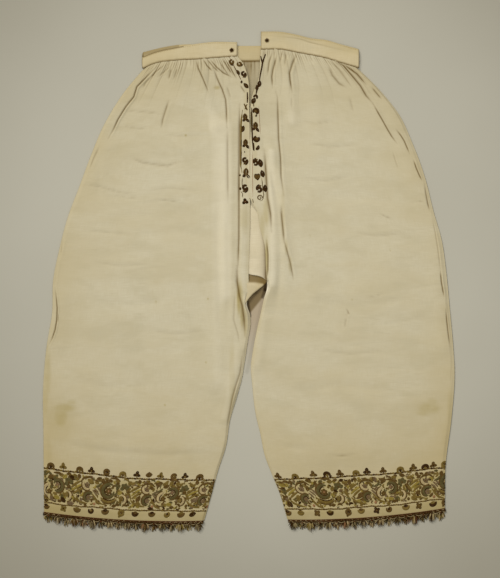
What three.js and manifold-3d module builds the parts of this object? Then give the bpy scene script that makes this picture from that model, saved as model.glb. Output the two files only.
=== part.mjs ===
// Historic linen pantaloons, laid flat with the front up.
// Millimetres. +Z is up from the surface, +Y runs from the hems to the waist, +X is the viewer's right.
// Each leg is one loom width of linen, folded down its outer side: a front panel lies on a back panel.
import * as THREE from 'three';
import { mergeVertices } from 'three/addons/utils/BufferGeometryUtils.js';
import Module from 'manifold-3d';

// ---------------------------------------------------------------- driving sizes
const CLOTH = 1.2;                 // linen wall of a panel
const BAND_WALL = 2.0;             // waistband: linen folded over itself
const SEAM_GAP = 0.3;              // clearance between pieces at a seam
const GUSSET_GAP = 0.7;            // beside the gusset, whose edges tilt
const WAIST_GAP = 0.55;            // the gathered edge waves a little, so it keeps more
const BACK_MID = CLOTH / 2;        // middle of the back panel above the surface
const FRONT_MID = 3.2;             // middle of the front panel, away from folds
const INSEAM_MID = BACK_MID + CLOTH + SEAM_GAP;   // front panel where it meets the back at the inseam

const GATHERS = 14;                // gathers in each panel at the waist, 56 round the garment
const COLUMNS_PER_GATHER = 3;
const PANEL_COLUMNS = GATHERS * COLUMNS_PER_GATHER;
const FOLD_COLUMNS = 4;            // columns round the folded outer side
const COLUMNS = 2 * PANEL_COLUMNS + FOLD_COLUMNS;
const GATHER_RISE = 0.95;          // of a front gather, above and below its middle
const BACK_GATHER_RISE = 0.5;
const GATHER_REACH = 42;           // how far a usual gather runs down from the band
const PUFF_DEPTH = 18;             // gathers stand highest this far below the band
const WAIST_PUFF = 2.1;
const BAND_SEAT = 1.2;             // lift of the front panel where the band holds it
const PUFF_FADE = 70;

const LEG_LENGTH = 857;            // band to hem at the inner edge
const LACE_BAND = 6;               // depth of the braid that carries the lace picots
const PICOT_DROP = 11;
const PICOTS = 50;                 // round each hem
const PICOT_TAPER = 0.35;
const LACE_WALL = 1.0;

// Depth of each row of the leg below the band. The first ones follow the gathers.
const GATHERED_ROWS = [0, 10, 24, 44, 72];
const PLAIN_ROWS = [
  108, 148, 192, 235, 272, 304, 332, 358, 382, 403, 422, 441, 460, 480,
  508, 552, 600, 648, 696, 742, 784, 822, LEG_LENGTH,
];

// ---------------------------------------------------------------- cut of the legs
// Edges as [x, y] from the waist down. Front and back run together below the crotch.
const LEFT_OUTER = [
  [-194, 391], [-234, 345], [-267, 293], [-291, 238], [-313, 179], [-335, 121], [-351, 60],
  [-362, 5], [-364, -55], [-374, -117], [-380, -179], [-380, -293], [-379, -424],
];
const RIGHT_OUTER = [
  [202, 393], [241, 356], [278, 312], [303, 260], [327, 195], [343, 132], [358, 79],
  [367, 16], [373, -47], [380, -125], [382, -160], [376, -254], [366, -332], [364, -417],
];
const LEFT_INSEAM = [
  [0, -22], [-3, -41], [3, -60], [4, -73], [-1, -106], [-8, -153], [-12, -177], [-21, -210],
  [-34, -254], [-42, -304], [-56, -347], [-68, -391], [-82, -440],
];
const RIGHT_INSEAM = [
  [34, 3], [35, -10], [30, -25], [23, -55], [15, -90], [10, -116], [4.5, -156], [7, -190],
  [14, -247], [22, -280], [30, -319], [46, -361], [57, -388], [72, -438],
];
const LEFT_FRONT = [
  [-20, 417], [-14, 410], [-3, 386], [1, 362], [1, 338], [2, 286], [2, 79], [0, 16],
  ...LEFT_INSEAM,
];
const RIGHT_FRONT = [
  [22, 430], [21, 406], [20, 388], [16, 368], [8, 349], [4.5, 329], [4, 286], [4, 153],
  [16, 130], [21, 101], [30, 68], [32, 32], ...RIGHT_INSEAM,
];
const LEFT_BACK = [[2, 409], [2, 88], [0, 16], ...LEFT_INSEAM];
const RIGHT_BACK = [[4, 409], [4, 88], ...RIGHT_INSEAM];

// Waistband: one strip round the waist, from the left front end to the right front end.
const BAND_BACK_Z = BAND_WALL / 2;
const BAND_FRONT_Z = 4.4;
const BAND_FOLD_TURNS = [30, 60, 90, 120, 150];   // degrees round each folded end
const LEFT_BAND_FRONT = [
  { x: -21, low: 417.5, high: 444 },
  { x: -71, low: 414, high: 444 },
  { x: -95, low: 412, high: 441 },
  { x: -134, low: 410, high: 434 },
  { x: -177, low: 403, high: 424 },
  { x: -194, low: 395.5, high: 417 },
];
const BAND_BACK = [
  { x: -194, low: 395.5, high: 426 },
  { x: -162, low: 405, high: 434 },
  { x: -134, low: 410, high: 439 },
  { x: -80, low: 412, high: 440 },
  { x: -21, low: 409, high: 437.5 },
  { x: 23, low: 409, high: 437.5 },
  { x: 95, low: 408, high: 437 },
  { x: 169, low: 403, high: 432 },
  { x: 202, low: 396.5, high: 425.5 },
];
const RIGHT_BAND_FRONT = [
  { x: 202, low: 396.5, high: 432 },
  { x: 169, low: 406, high: 438 },
  { x: 145, low: 413.5, high: 448.5 },
  { x: 114, low: 420, high: 451 },
  { x: 92, low: 424, high: 458 },
  { x: 60, low: 430, high: 463 },
  { x: 23, low: 430, high: 463.5 },
];
const EYELET_BORE = 3.6;
const EYELETS = [{ x: -31, y: 429 }, { x: 34, y: 447 }];

// Largest folds of the front panels: a soft ridge, or a trough where rise is below zero.
const LEFT_FOLDS = [
  { x0: -10, y0: 150, x1: -10, y1: -10, half: 9, rise: 1.8 },      // strip beside the fly
  { x0: -22, y0: 130, x1: -23, y1: -45, half: 8, rise: -0.9 },     // crease along that strip
  { x0: -40, y0: 290, x1: -38, y1: -20, half: 16, rise: 2.0 },
  { x0: -95, y0: 408, x1: -60, y1: 290, half: 12, rise: 2.2 },
  { x0: -62, y0: 285, x1: -58, y1: -180, half: 18, rise: 1.6 },
  { x0: -130, y0: 400, x1: -118, y1: 250, half: 18, rise: 1.3 },
  { x0: -180, y0: 385, x1: -256, y1: 268, half: 12, rise: -0.9 },
  { x0: -230, y0: 330, x1: -285, y1: 190, half: 16, rise: 1.2 },
  { x0: -345, y0: -30, x1: -350, y1: -115, half: 14, rise: 1.2 },
  { x0: -20, y0: -125, x1: -45, y1: -250, half: 12, rise: 1.6 },
  { x0: -150, y0: -60, x1: -280, y1: -75, half: 26, rise: 0.9 },
  { x0: -90, y0: -290, x1: -230, y1: -300, half: 26, rise: 0.8 },
];
const RIGHT_FOLDS = [
  { x0: 42, y0: 240, x1: 44, y1: 0, half: 11, rise: 2.4 },         // fold that overhangs the gusset
  { x0: 26, y0: 395, x1: 12, y1: 300, half: 10, rise: 1.4 },
  { x0: 64, y0: 200, x1: 66, y1: 60, half: 12, rise: 1.6 },
  { x0: 72, y0: 408, x1: 80, y1: 300, half: 12, rise: 2.2 },
  { x0: 120, y0: 400, x1: 128, y1: 240, half: 18, rise: 1.3 },
  { x0: 178, y0: 385, x1: 270, y1: 262, half: 12, rise: -0.9 },
  { x0: 262, y0: 300, x1: 322, y1: 150, half: 14, rise: 1.2 },
  { x0: 345, y0: 40, x1: 362, y1: -120, half: 14, rise: 1.1 },
  { x0: 28, y0: -70, x1: 16, y1: -150, half: 12, rise: 1.5 },
  { x0: 130, y0: -20, x1: 260, y1: -35, half: 26, rise: 0.9 },
  { x0: 110, y0: -318, x1: 210, y1: -320, half: 24, rise: 0.9 },
];
const SIDE_FADE = 0.09;            // share of a panel over which folds die out at the outer side
const HEM_SAG = 6.5;               // the middle of a hem hangs this far below its ends
const WAIST_BLEND = 60;            // depth over which rows straighten from the band's curve
const INSEAM_FADE = 0.07;

// ---------------------------------------------------------------- small helpers
function lerp(a, b, t) {
  return a + (b - a) * t;
}

function clamp01(t) {
  return Math.min(1, Math.max(0, t));
}

// x of an edge at height y; the edge runs down the page.
function edgeX(edge, y) {
  if (y >= edge[0][1]) return edge[0][0];
  for (let i = 1; i < edge.length; i += 1) {
    const [x1, y1] = edge[i];
    if (y >= y1) {
      const [x0, y0] = edge[i - 1];
      return lerp(x0, x1, (y0 - y) / (y0 - y1));
    }
  }
  return edge[edge.length - 1][0];
}

// Lower edge of the band at x, from a table of its sections.
function bandLow(sections, x) {
  const rows = [...sections].sort((a, b) => a.x - b.x);
  if (x <= rows[0].x) return rows[0].low;
  for (let i = 1; i < rows.length; i += 1) {
    if (x <= rows[i].x) {
      const t = (x - rows[i - 1].x) / (rows[i].x - rows[i - 1].x);
      return lerp(rows[i - 1].low, rows[i].low, t);
    }
  }
  return rows[rows.length - 1].low;
}

// A repeatable uneven value from 0 to 1 for gather or picot number n.
function uneven(n, seed) {
  const wave = Math.sin(n * 12.9898 + seed * 78.233) * 43758.5453;
  return wave - Math.floor(wave);
}

function foldHeight(folds, x, y) {
  let height = 0;
  for (const fold of folds) {
    const dx = fold.x1 - fold.x0;
    const dy = fold.y1 - fold.y0;
    const along = ((x - fold.x0) * dx + (y - fold.y0) * dy) / (dx * dx + dy * dy);
    const t = clamp01(along);
    const off = Math.hypot(x - fold.x0 - dx * t, y - fold.y0 - dy * t) / fold.half;
    height += fold.rise * Math.exp(-off * off);
  }
  return height;
}

// Height of the gathers at a panel column, for a depth below the band.
function gatherHeight(column, depth, seed, rise) {
  const index = Math.floor(column / COLUMNS_PER_GATHER);
  const wave = Math.cos((2 * Math.PI * (column - 1)) / COLUMNS_PER_GATHER);
  const reach = GATHER_REACH * (0.55 + 0.9 * uneven(index, seed));
  const strength = 0.7 + 0.3 * uneven(index, seed + 1);
  const fade = Math.exp(-((depth / reach) ** 2));
  return rise * strength * wave * fade;
}

function puff(depth) {
  if (depth < PUFF_DEPTH) return lerp(BAND_SEAT, BAND_SEAT + WAIST_PUFF, depth / PUFF_DEPTH);
  return (BAND_SEAT + WAIST_PUFF) * Math.exp(-(depth - PUFF_DEPTH) / PUFF_FADE);
}

// ---------------------------------------------------------------- a leg's middle surface
// column 0 is the front edge, the middle columns go round the outer fold, the last is the back edge.
function makeLegSurface(leg) {
  const topFront = leg.front[0][1];
  const topBack = leg.back[0][1];
  const topOuter = leg.outer[0][1];
  const lowInner = leg.front[leg.front.length - 1][1];
  const lowOuter = leg.outer[leg.outer.length - 1][1];

  // Share across a panel, 0 at the inner edge and 1 at the outer fold; closer near the fly.
  function share(panelColumn) {
    const t = panelColumn / PANEL_COLUMNS;
    return 0.55 * t + 0.45 * t * t * (1.5 - 0.5 * t);
  }

  function panelPoint(t, depth, isFront) {
    const fall = depth / LEG_LENGTH;
    const edge = isFront ? leg.front : leg.back;
    const yInner = lerp(isFront ? topFront : topBack, lowInner, fall);
    const yOuter = lerp(topOuter, lowOuter, fall);
    const outerX = edgeX(leg.outer, yOuter);
    const x = lerp(edgeX(edge, yInner), outerX, t);
    const band = isFront ? leg.bandFront : BAND_BACK;
    const topX = lerp(edge[0][0], leg.outer[0][0], t);
    const straightTop = lerp(isFront ? topFront : topBack, topOuter, t);
    const bandY = bandLow(band, topX) - WAIST_GAP;
    const blend = Math.exp(-((depth / WAIST_BLEND) ** 2));
    const sag = HEM_SAG * 4 * t * (1 - t) * fall ** 4;
    const y = lerp(yInner, yOuter, t) + (bandY - straightTop) * blend - sag;
    return { x, y };
  }

  function frontZ(column, t, x, y, depth) {
    const sideFade = clamp01((1 - t) / SIDE_FADE);
    const relief = foldHeight(leg.folds, x, y) * sideFade * clamp01(depth / PUFF_DEPTH);
    const gathers = gatherHeight(column, depth, leg.seed, GATHER_RISE) * sideFade;
    const open = FRONT_MID + puff(depth) * lerp(0.55, 1, sideFade) + relief + gathers;
    const closing = y < leg.crotchY ? clamp01(t / INSEAM_FADE) : 1;
    return lerp(INSEAM_MID, open, closing);
  }

  function backZ(column, t, depth) {
    const sideFade = clamp01((1 - t) / SIDE_FADE);
    const gathers = gatherHeight(column, depth, leg.seed + 5, BACK_GATHER_RISE);
    const rise = BACK_GATHER_RISE * Math.exp(-((depth / GATHER_REACH) ** 2));
    return BACK_MID + Math.max(0, gathers + rise * 0.5) * sideFade;
  }

  return function point(column, depth) {
    const side = Math.sign(leg.outer[0][0]);
    if (column <= PANEL_COLUMNS) {
      const t = share(column);
      const { x, y } = panelPoint(t, depth, true);
      const z = frontZ(column, t, x, y, depth);
      const inset = side * FRONT_MID * 0.5 * t;
      return new THREE.Vector3(x - inset, y, z);
    }
    if (column >= PANEL_COLUMNS + FOLD_COLUMNS) {
      const panelColumn = COLUMNS - column;
      const t = share(panelColumn);
      const { x, y } = panelPoint(t, depth, false);
      const inset = side * FRONT_MID * 0.5 * t;
      return new THREE.Vector3(x - inset, y, backZ(panelColumn, t, depth));
    }
    const front = point(PANEL_COLUMNS, depth);
    const back = point(PANEL_COLUMNS + FOLD_COLUMNS, depth);
    const turn = (Math.PI * (column - PANEL_COLUMNS)) / FOLD_COLUMNS;
    const radius = (front.z - back.z) / 2;
    return new THREE.Vector3(
      lerp(front.x, back.x, 0.5 - 0.5 * Math.cos(turn)) + side * radius * Math.sin(turn),
      lerp(front.y, back.y, 0.5 - 0.5 * Math.cos(turn)),
      (front.z + back.z) / 2 + radius * Math.cos(turn),
    );
  };
}

// ---------------------------------------------------------------- walls from middle surfaces
// Rows are lists of [column, depth] stations. A row may have half as many columns as the one above.
function wallGeometry(point, rows, wall, side, depthStep) {
  const step = 0.5;
  const positions = [];
  const outerRows = [];
  const innerRows = [];
  const lastColumn = rows[0].columns[rows[0].columns.length - 1];
  const lastDepth = rows[rows.length - 1].depth;

  function add(v) {
    positions.push(v.x, v.y, Math.max(v.z, 0));
    return positions.length / 3 - 1;
  }

  for (const row of rows) {
    const outer = [];
    const inner = [];
    for (const column of row.columns) {
      const here = point(column, row.depth);
      const c0 = Math.max(0, column - step);
      const c1 = Math.min(lastColumn, column + step);
      const d0 = Math.max(0, row.depth - depthStep);
      const d1 = Math.min(lastDepth, row.depth + depthStep);
      const across = point(c1, row.depth).sub(point(c0, row.depth));
      const down = point(column, d1).sub(point(column, d0));
      const normal = side < 0 ? across.cross(down) : down.cross(across);
      normal.normalize().multiplyScalar(-wall / 2);
      outer.push(add(here.clone().sub(normal)));
      inner.push(add(here.clone().add(normal)));
    }
    outerRows.push(outer);
    innerRows.push(inner);
  }

  const index = [];
  function face(a, b, c, flip) {
    if (flip) index.push(a, c, b);
    else index.push(a, b, c);
  }
  function skin(upper, lower, flip) {
    const ratio = (upper.length - 1) / (lower.length - 1);
    for (let i = 0; i + 1 < lower.length; i += 1) {
      if (ratio === 1) {
        face(upper[i], lower[i], upper[i + 1], flip);
        face(upper[i + 1], lower[i], lower[i + 1], flip);
      } else {
        face(upper[2 * i], lower[i], upper[2 * i + 1], flip);
        face(upper[2 * i + 1], lower[i], lower[i + 1], flip);
        face(upper[2 * i + 1], lower[i + 1], upper[2 * i + 2], flip);
      }
    }
  }
  function rim(outerEdge, innerEdge, flip) {
    for (let i = 0; i + 1 < outerEdge.length; i += 1) {
      face(outerEdge[i], outerEdge[i + 1], innerEdge[i], flip);
      face(outerEdge[i + 1], innerEdge[i + 1], innerEdge[i], flip);
    }
  }
  const mirrored = side > 0;
  for (let r = 0; r + 1 < rows.length; r += 1) {
    skin(outerRows[r], outerRows[r + 1], !mirrored);
    skin(innerRows[r], innerRows[r + 1], mirrored);
  }
  rim(outerRows[0], innerRows[0], !mirrored);
  rim(outerRows[rows.length - 1], innerRows[rows.length - 1], mirrored);
  const firstOuter = outerRows.map((row) => row[0]);
  const firstInner = innerRows.map((row) => row[0]);
  const lastOuter = outerRows.map((row) => row[row.length - 1]);
  const lastInner = innerRows.map((row) => row[row.length - 1]);
  rim(firstOuter, firstInner, mirrored);
  rim(lastOuter, lastInner, !mirrored);

  const geometry = new THREE.BufferGeometry();
  geometry.setAttribute('position', new THREE.Float32BufferAttribute(positions, 3));
  geometry.setIndex(index);
  return geometry;
}

function everyColumn(step, last) {
  const columns = [];
  for (let column = 0; column <= last; column += step) columns.push(column);
  return columns;
}

function makeMesh(name, geometry, material) {
  geometry.computeVertexNormals();
  const mesh = new THREE.Mesh(geometry, material);
  mesh.name = name;
  return mesh;
}

// ---------------------------------------------------------------- pieces
const linen = new THREE.MeshStandardMaterial({ color: 0xd3c7a4, roughness: 0.93, metalness: 0 });
const bandLinen = new THREE.MeshStandardMaterial({ color: 0xd0bf92, roughness: 0.93, metalness: 0 });
const silk = new THREE.MeshStandardMaterial({ color: 0x5b4630, roughness: 0.8, metalness: 0 });

const leftCut = {
  outer: LEFT_OUTER, front: LEFT_FRONT, back: LEFT_BACK, bandFront: LEFT_BAND_FRONT,
  folds: LEFT_FOLDS, seed: 3, crotchY: -20,
};
const rightCut = {
  outer: RIGHT_OUTER, front: RIGHT_FRONT, back: RIGHT_BACK, bandFront: RIGHT_BAND_FRONT,
  folds: RIGHT_FOLDS, seed: 11, crotchY: 5,
};

// Below the gathers a leg needs only every other column.
const LEG_ROWS = [
  ...GATHERED_ROWS.map((depth) => ({ depth, columns: everyColumn(1, COLUMNS) })),
  ...PLAIN_ROWS.map((depth) => ({ depth, columns: everyColumn(2, COLUMNS) })),
];

function makeLeg(name, cut) {
  const side = Math.sign(cut.outer[0][0]);
  return makeMesh(name, wallGeometry(makeLegSurface(cut), LEG_ROWS, CLOTH, side, 2), linen);
}

// The band's middle surface: column 0 is the left front end, depth 0 its upper edge.
function makeBand() {
  const radius = (BAND_FRONT_Z - BAND_BACK_Z) / 2;
  const middle = (BAND_FRONT_Z + BAND_BACK_Z) / 2;

  // Sections round a folded end, from the section before it to the one after it.
  function foldSections(from, to, side, fromFront) {
    return BAND_FOLD_TURNS.map((degrees) => {
      const turn = THREE.MathUtils.degToRad(degrees);
      const t = 0.5 - 0.5 * Math.cos(turn);
      const rise = radius * Math.cos(turn) * (fromFront ? 1 : -1);
      return {
        x: from.x + side * radius * Math.sin(turn),
        low: lerp(from.low, to.low, t),
        high: lerp(from.high, to.high, t),
        z: middle + rise,
      };
    });
  }

  const leftEnd = LEFT_BAND_FRONT[LEFT_BAND_FRONT.length - 1];
  const rightEnd = BAND_BACK[BAND_BACK.length - 1];
  const sections = [
    ...LEFT_BAND_FRONT.map((row) => ({ ...row, z: BAND_FRONT_Z })),
    ...foldSections(leftEnd, BAND_BACK[0], -1, true),
    ...BAND_BACK.map((row) => ({ ...row, z: BAND_BACK_Z })),
    ...foldSections(rightEnd, RIGHT_BAND_FRONT[0], 1, false),
    ...RIGHT_BAND_FRONT.map((row) => ({ ...row, z: BAND_FRONT_Z })),
  ];

  function point(column, depth) {
    const i = Math.min(Math.floor(column), sections.length - 2);
    const t = column - i;
    const a = sections[i];
    const b = sections[i + 1];
    const high = lerp(a.high, b.high, t);
    const low = lerp(a.low, b.low, t);
    return new THREE.Vector3(lerp(a.x, b.x, t), lerp(high, low, depth), lerp(a.z, b.z, t));
  }

  const columns = everyColumn(1, sections.length - 1);
  const rows = [0, 0.5, 1].map((depth) => ({ depth, columns }));
  return wallGeometry(point, rows, BAND_WALL, -1, 0.5);
}

const wasm = await Module();
wasm.setup();

function toManifold(source) {
  const geometry = source.clone();
  geometry.deleteAttribute('normal');
  geometry.deleteAttribute('uv');
  const merged = mergeVertices(geometry, 1e-4);
  return new wasm.Manifold(new wasm.Mesh({
    numProp: 3,
    vertProperties: new Float32Array(merged.attributes.position.array),
    triVerts: new Uint32Array(merged.index.array),
  }));
}

function fromManifold(solid) {
  const mesh = solid.getMesh();
  const geometry = new THREE.BufferGeometry();
  geometry.setAttribute('position', new THREE.Float32BufferAttribute(mesh.vertProperties, 3));
  geometry.setIndex(Array.from(mesh.triVerts));
  return geometry;
}

function boreEyelets(band) {
  let solid = toManifold(band);
  for (const eyelet of EYELETS) {
    const bore = new THREE.CylinderGeometry(EYELET_BORE / 2, EYELET_BORE / 2, BAND_WALL * 2, 12);
    bore.rotateX(Math.PI / 2);
    bore.translate(eyelet.x, eyelet.y, BAND_FRONT_Z);
    solid = solid.subtract(toManifold(bore));
  }
  return fromManifold(solid);
}

// The crotch gusset: a sheet in front, lifted at its free lower edge, and a sheet behind it.
// Each lies between the edges of the two legs, with its lift above the panel given down the page.
const GUSSET_ARCH = 0.7;
const GUSSET_COLUMNS = 4;
const GUSSET_ROW_STEP = 8;
const FRONT_GUSSET = [
  { y: 144, lift: 0 }, { y: 101, lift: 0.4 }, { y: 68, lift: 0.8 }, { y: 40, lift: 1.8 },
  { y: 20, lift: 3.4 }, { y: 11, lift: 4.4 },
];
const BACK_GUSSET = [{ y: 76, lift: 0 }, { y: 25, lift: 0.2 }, { y: -8, lift: 1.1 }, { y: -21, lift: 0.8 }];
const GUSSET_SLIT = [[33, 3], [16, -14], [5, -26]];     // free edge of the back gusset at the crotch
const FRONT_GUSSET_DROP = 8;       // the lower edge of the front gusset slants down to the right

function liftAt(sections, y) {
  for (let i = 1; i < sections.length; i += 1) {
    if (y >= sections[i].y) {
      const t = (sections[i - 1].y - y) / (sections[i - 1].y - sections[i].y);
      return lerp(sections[i - 1].lift, sections[i].lift, t);
    }
  }
  return sections[sections.length - 1].lift;
}

// The edge that a leg really has: its rows joined by straight lines.
function builtEdge(cut, column) {
  const surface = makeLegSurface(cut);
  return LEG_ROWS.map((row) => surface(column, row.depth)).map((v) => [v.x, v.y]);
}

function makeGusset(name, sections, leftEdge, rightEdge, baseZ, drop) {
  const top = sections[0].y;
  const low = sections[sections.length - 1].y;
  const count = Math.round((top - low) / GUSSET_ROW_STEP);
  function point(column, row) {
    const across = column / GUSSET_COLUMNS;
    const y = lerp(top, low, row / count);
    const slant = drop * across * (row / count) ** 2;
    const left = edgeX(leftEdge, y) + GUSSET_GAP;
    const right = edgeX(rightEdge, y - slant) - GUSSET_GAP;
    const lift = liftAt(sections, y);
    const arch = GUSSET_ARCH * lift * Math.sin(Math.PI * across);
    return new THREE.Vector3(lerp(left, right, across), y - slant, baseZ + lift + arch);
  }
  const columns = everyColumn(1, GUSSET_COLUMNS);
  const rows = everyColumn(1, count).map((depth) => ({ depth, columns }));
  return makeMesh(name, wallGeometry(point, rows, CLOTH, 1, 0.5), linen);
}

// ---------------------------------------------------------------- lace edging of a hem
// A narrow braid runs round the hem, 0.3 mm off the cloth, and tapered picots hang from it.
function makeLace(name, cut) {
  const surface = makeLegSurface(cut);
  const side = Math.sign(cut.outer[0][0]);
  const stations = [];
  const cells = 2 * PICOTS + 1;
  const lengths = [0];
  const path = everyColumn(1, COLUMNS).map((column) => surface(column, LEG_LENGTH));
  for (let i = 1; i < path.length; i += 1) {
    lengths.push(lengths[i - 1] + path[i].distanceTo(path[i - 1]));
  }
  const total = lengths[lengths.length - 1];
  for (let cell = 0; cell <= cells; cell += 1) {
    const target = (total * cell) / cells;
    let i = 1;
    while (i < path.length - 1 && lengths[i] < target) i += 1;
    const t = (target - lengths[i - 1]) / (lengths[i] - lengths[i - 1]);
    const here = path[i - 1].clone().lerp(path[i], clamp01(t));
    const tangent = path[i].clone().sub(path[i - 1]).normalize();
    const normal = new THREE.Vector3(-tangent.z, 0, tangent.x).normalize().multiplyScalar(side);
    if (here.z - LACE_WALL / 2 < 0.1) here.z = LACE_WALL / 2 + 0.1;
    stations.push({ here, normal });
  }

  const positions = [];
  const index = [];
  function add(station, across, down) {
    const v = station.here.clone().addScaledVector(station.normal, across * LACE_WALL * 0.5);
    positions.push(v.x, v.y - down, v.z);
    return positions.length / 3 - 1;
  }
  function quad(a, b, c, d) {
    if (side > 0) index.push(a, b, c, a, c, d);
    else index.push(a, c, b, a, d, c);
  }
  const rings = stations.map((station) => ({
    topOut: add(station, 1, SEAM_GAP),
    topIn: add(station, -1, SEAM_GAP),
    lowOut: add(station, 1, SEAM_GAP + LACE_BAND),
    lowIn: add(station, -1, SEAM_GAP + LACE_BAND),
  }));
  for (let i = 0; i < cells; i += 1) {
    const a = rings[i];
    const b = rings[i + 1];
    quad(a.topOut, a.lowOut, b.lowOut, b.topOut);
    quad(a.topIn, b.topIn, b.lowIn, a.lowIn);
    quad(a.topIn, a.topOut, b.topOut, b.topIn);
    if (i % 2 === 0) {
      quad(a.lowOut, a.lowIn, b.lowIn, b.lowOut);
      continue;
    }
    const drop = SEAM_GAP + LACE_BAND + PICOT_DROP * (0.75 + 0.25 * uneven(i, cut.seed));
    const tips = [];
    for (const across of [1, -1]) {
      for (const end of [0, 1]) {
        const near = stations[i + end].here;
        const far = stations[i + 1 - end].here;
        const here = near.clone().lerp(far, PICOT_TAPER);
        tips.push(add({ here, normal: stations[i + end].normal }, across * 0.6, drop));
      }
    }
    const [outA, outB, inA, inB] = tips;
    quad(a.lowOut, outA, outB, b.lowOut);
    quad(a.lowIn, b.lowIn, inB, inA);
    quad(a.lowOut, a.lowIn, inA, outA);
    quad(b.lowOut, outB, inB, b.lowIn);
    quad(outA, inA, inB, outB);
  }
  const first = rings[0];
  const last = rings[cells];
  quad(first.topOut, first.topIn, first.lowIn, first.lowOut);
  quad(last.topOut, last.lowOut, last.lowIn, last.topIn);
  const geometry = new THREE.BufferGeometry();
  geometry.setAttribute('position', new THREE.Float32BufferAttribute(positions, 3));
  geometry.setIndex(index);
  return makeMesh(name, geometry, silk);
}

// ---------------------------------------------------------------- the garment
const group = new THREE.Group();
group.add(makeLeg('left_leg', leftCut));
group.add(makeLeg('right_leg', rightCut));
group.add(makeMesh('waistband', boreEyelets(makeBand()), bandLinen));
const leftFrontEdge = builtEdge(leftCut, 0);
const rightFrontEdge = builtEdge(rightCut, 0);
const leftBackEdge = builtEdge(leftCut, COLUMNS);
const rightBackEdge = [...builtEdge(rightCut, COLUMNS).filter(([, y]) => y > 5), ...GUSSET_SLIT];
group.add(makeGusset('gusset_front', FRONT_GUSSET, leftFrontEdge, rightFrontEdge, FRONT_MID,
  FRONT_GUSSET_DROP));
group.add(makeGusset('gusset_back', BACK_GUSSET, leftBackEdge, rightBackEdge, BACK_MID, 0));
group.add(makeLace('left_lace', leftCut));
group.add(makeLace('right_lace', rightCut));

// The origin is the middle of the underside of the whole garment.
const box = new THREE.Box3().setFromObject(group, true);
group.position.set(-(box.min.x + box.max.x) / 2, -(box.min.y + box.max.y) / 2, -box.min.z);
group.updateMatrixWorld(true);

export default group;
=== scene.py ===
"""Historic linen pantaloons, laid flat with the front up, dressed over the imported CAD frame.

Shapes are worked out in millimetres in the drawing's own frame, the one that the CAD tables use: x to
the viewer's right, y from hem to waist, z up from the surface. place() turns them into the row frame.
"""
import math

import bpy
import numpy as np
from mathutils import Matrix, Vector


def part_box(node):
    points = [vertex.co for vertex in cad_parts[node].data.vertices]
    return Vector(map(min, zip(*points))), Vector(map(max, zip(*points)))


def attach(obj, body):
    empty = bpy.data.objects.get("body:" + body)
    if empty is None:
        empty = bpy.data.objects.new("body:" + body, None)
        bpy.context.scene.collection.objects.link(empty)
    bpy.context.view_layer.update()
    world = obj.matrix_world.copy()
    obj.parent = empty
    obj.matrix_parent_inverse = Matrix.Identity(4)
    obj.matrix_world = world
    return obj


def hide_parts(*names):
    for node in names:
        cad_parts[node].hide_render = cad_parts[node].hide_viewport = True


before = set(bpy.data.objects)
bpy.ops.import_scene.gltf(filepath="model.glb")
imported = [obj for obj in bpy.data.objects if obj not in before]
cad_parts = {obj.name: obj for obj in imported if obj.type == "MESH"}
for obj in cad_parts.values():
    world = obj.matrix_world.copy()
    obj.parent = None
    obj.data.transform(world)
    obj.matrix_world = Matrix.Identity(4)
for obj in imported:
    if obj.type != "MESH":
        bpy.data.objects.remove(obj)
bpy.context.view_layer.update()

# ------------------------------------------------------------------ driving sizes, in millimetres
MM = 0.001
PIXEL = 1.85                      # millimetres of the garment to a pixel of the photograph
PHOTO_SIZE = (500, 578)           # pixels
PHOTO_ZERO = (248.5, 282.5)       # pixel of the drawing's zero
LEG_LENGTH = 857.0
HEM_PANEL = 375.0                 # width of the front or back panel before the gathers
BACK_MID = 0.6
FRONT_MID = 3.2
BAND_TOP = 463.5                  # highest point of the band in the drawing's frame
GATHERS = 14                      # large gathers on each panel
GATHER_REACH = 42.0               # how far down from the band they last
PUFF_DEPTH = 18.0
WAIST_PUFF = 2.1
BAND_SEAT = 1.2
PUFF_FADE = 70.0
SIDE_FADE = 0.09
HEM_SAG = 6.5                     # the hem's middle hangs this much lower than its ends
WAIST_BLEND = 60.0
INSEAM_FADE = 0.045
INSEAM_MID = 1.1
EDGE_TOP = 2.0                    # where the front turns under at the outer fold
TUCK = 2.5                        # the gathered edge runs up inside the band

BAND_BACK_Z = 1.0
BAND_FRONT_Z = 4.4
BAND_WALL = 1.5
EYELETS = [(-31.0, 429.0), (34.0, 447.0)]
EYELET_BORE = 3.6
EYELET_CUT = 0.8                  # the cloth from here on is pushed out, to lie round the bore
EYELET_PULL = 4.2                 # how far from the middle of an eyelet the cloth is pushed
LOWEST_THREAD = 0.04              # no thread lies lower over the floor

# ------------------------------------------------------------------ cut of the legs, as in the CAD source
LEFT_OUTER = [
    (-194, 391), (-234, 345), (-267, 293), (-291, 238), (-313, 179), (-335, 121), (-351, 60),
    (-362, 5), (-364, -55), (-374, -117), (-380, -179), (-380, -293), (-379, -424),
]
RIGHT_OUTER = [
    (202, 393), (241, 356), (278, 312), (303, 260), (327, 195), (343, 132), (358, 79),
    (367, 16), (373, -47), (380, -125), (382, -160), (376, -254), (366, -332), (364, -417),
]
LEFT_INSEAM = [
    (0, -22), (-3, -41), (3, -60), (4, -73), (-1, -106), (-8, -153), (-12, -177), (-21, -210),
    (-34, -254), (-42, -304), (-56, -347), (-68, -391), (-82, -440),
]
RIGHT_INSEAM = [
    (34, 3), (35, -10), (30, -25), (23, -55), (15, -90), (10, -116), (4.5, -156), (7, -190),
    (14, -247), (22, -280), (30, -319), (46, -361), (57, -388), (72, -438),
]
LEFT_FRONT = [
    (-20, 417), (-14, 410), (-3, 386), (1, 362), (1, 338), (2, 286), (2, 79), (0, 16),
] + LEFT_INSEAM
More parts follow.
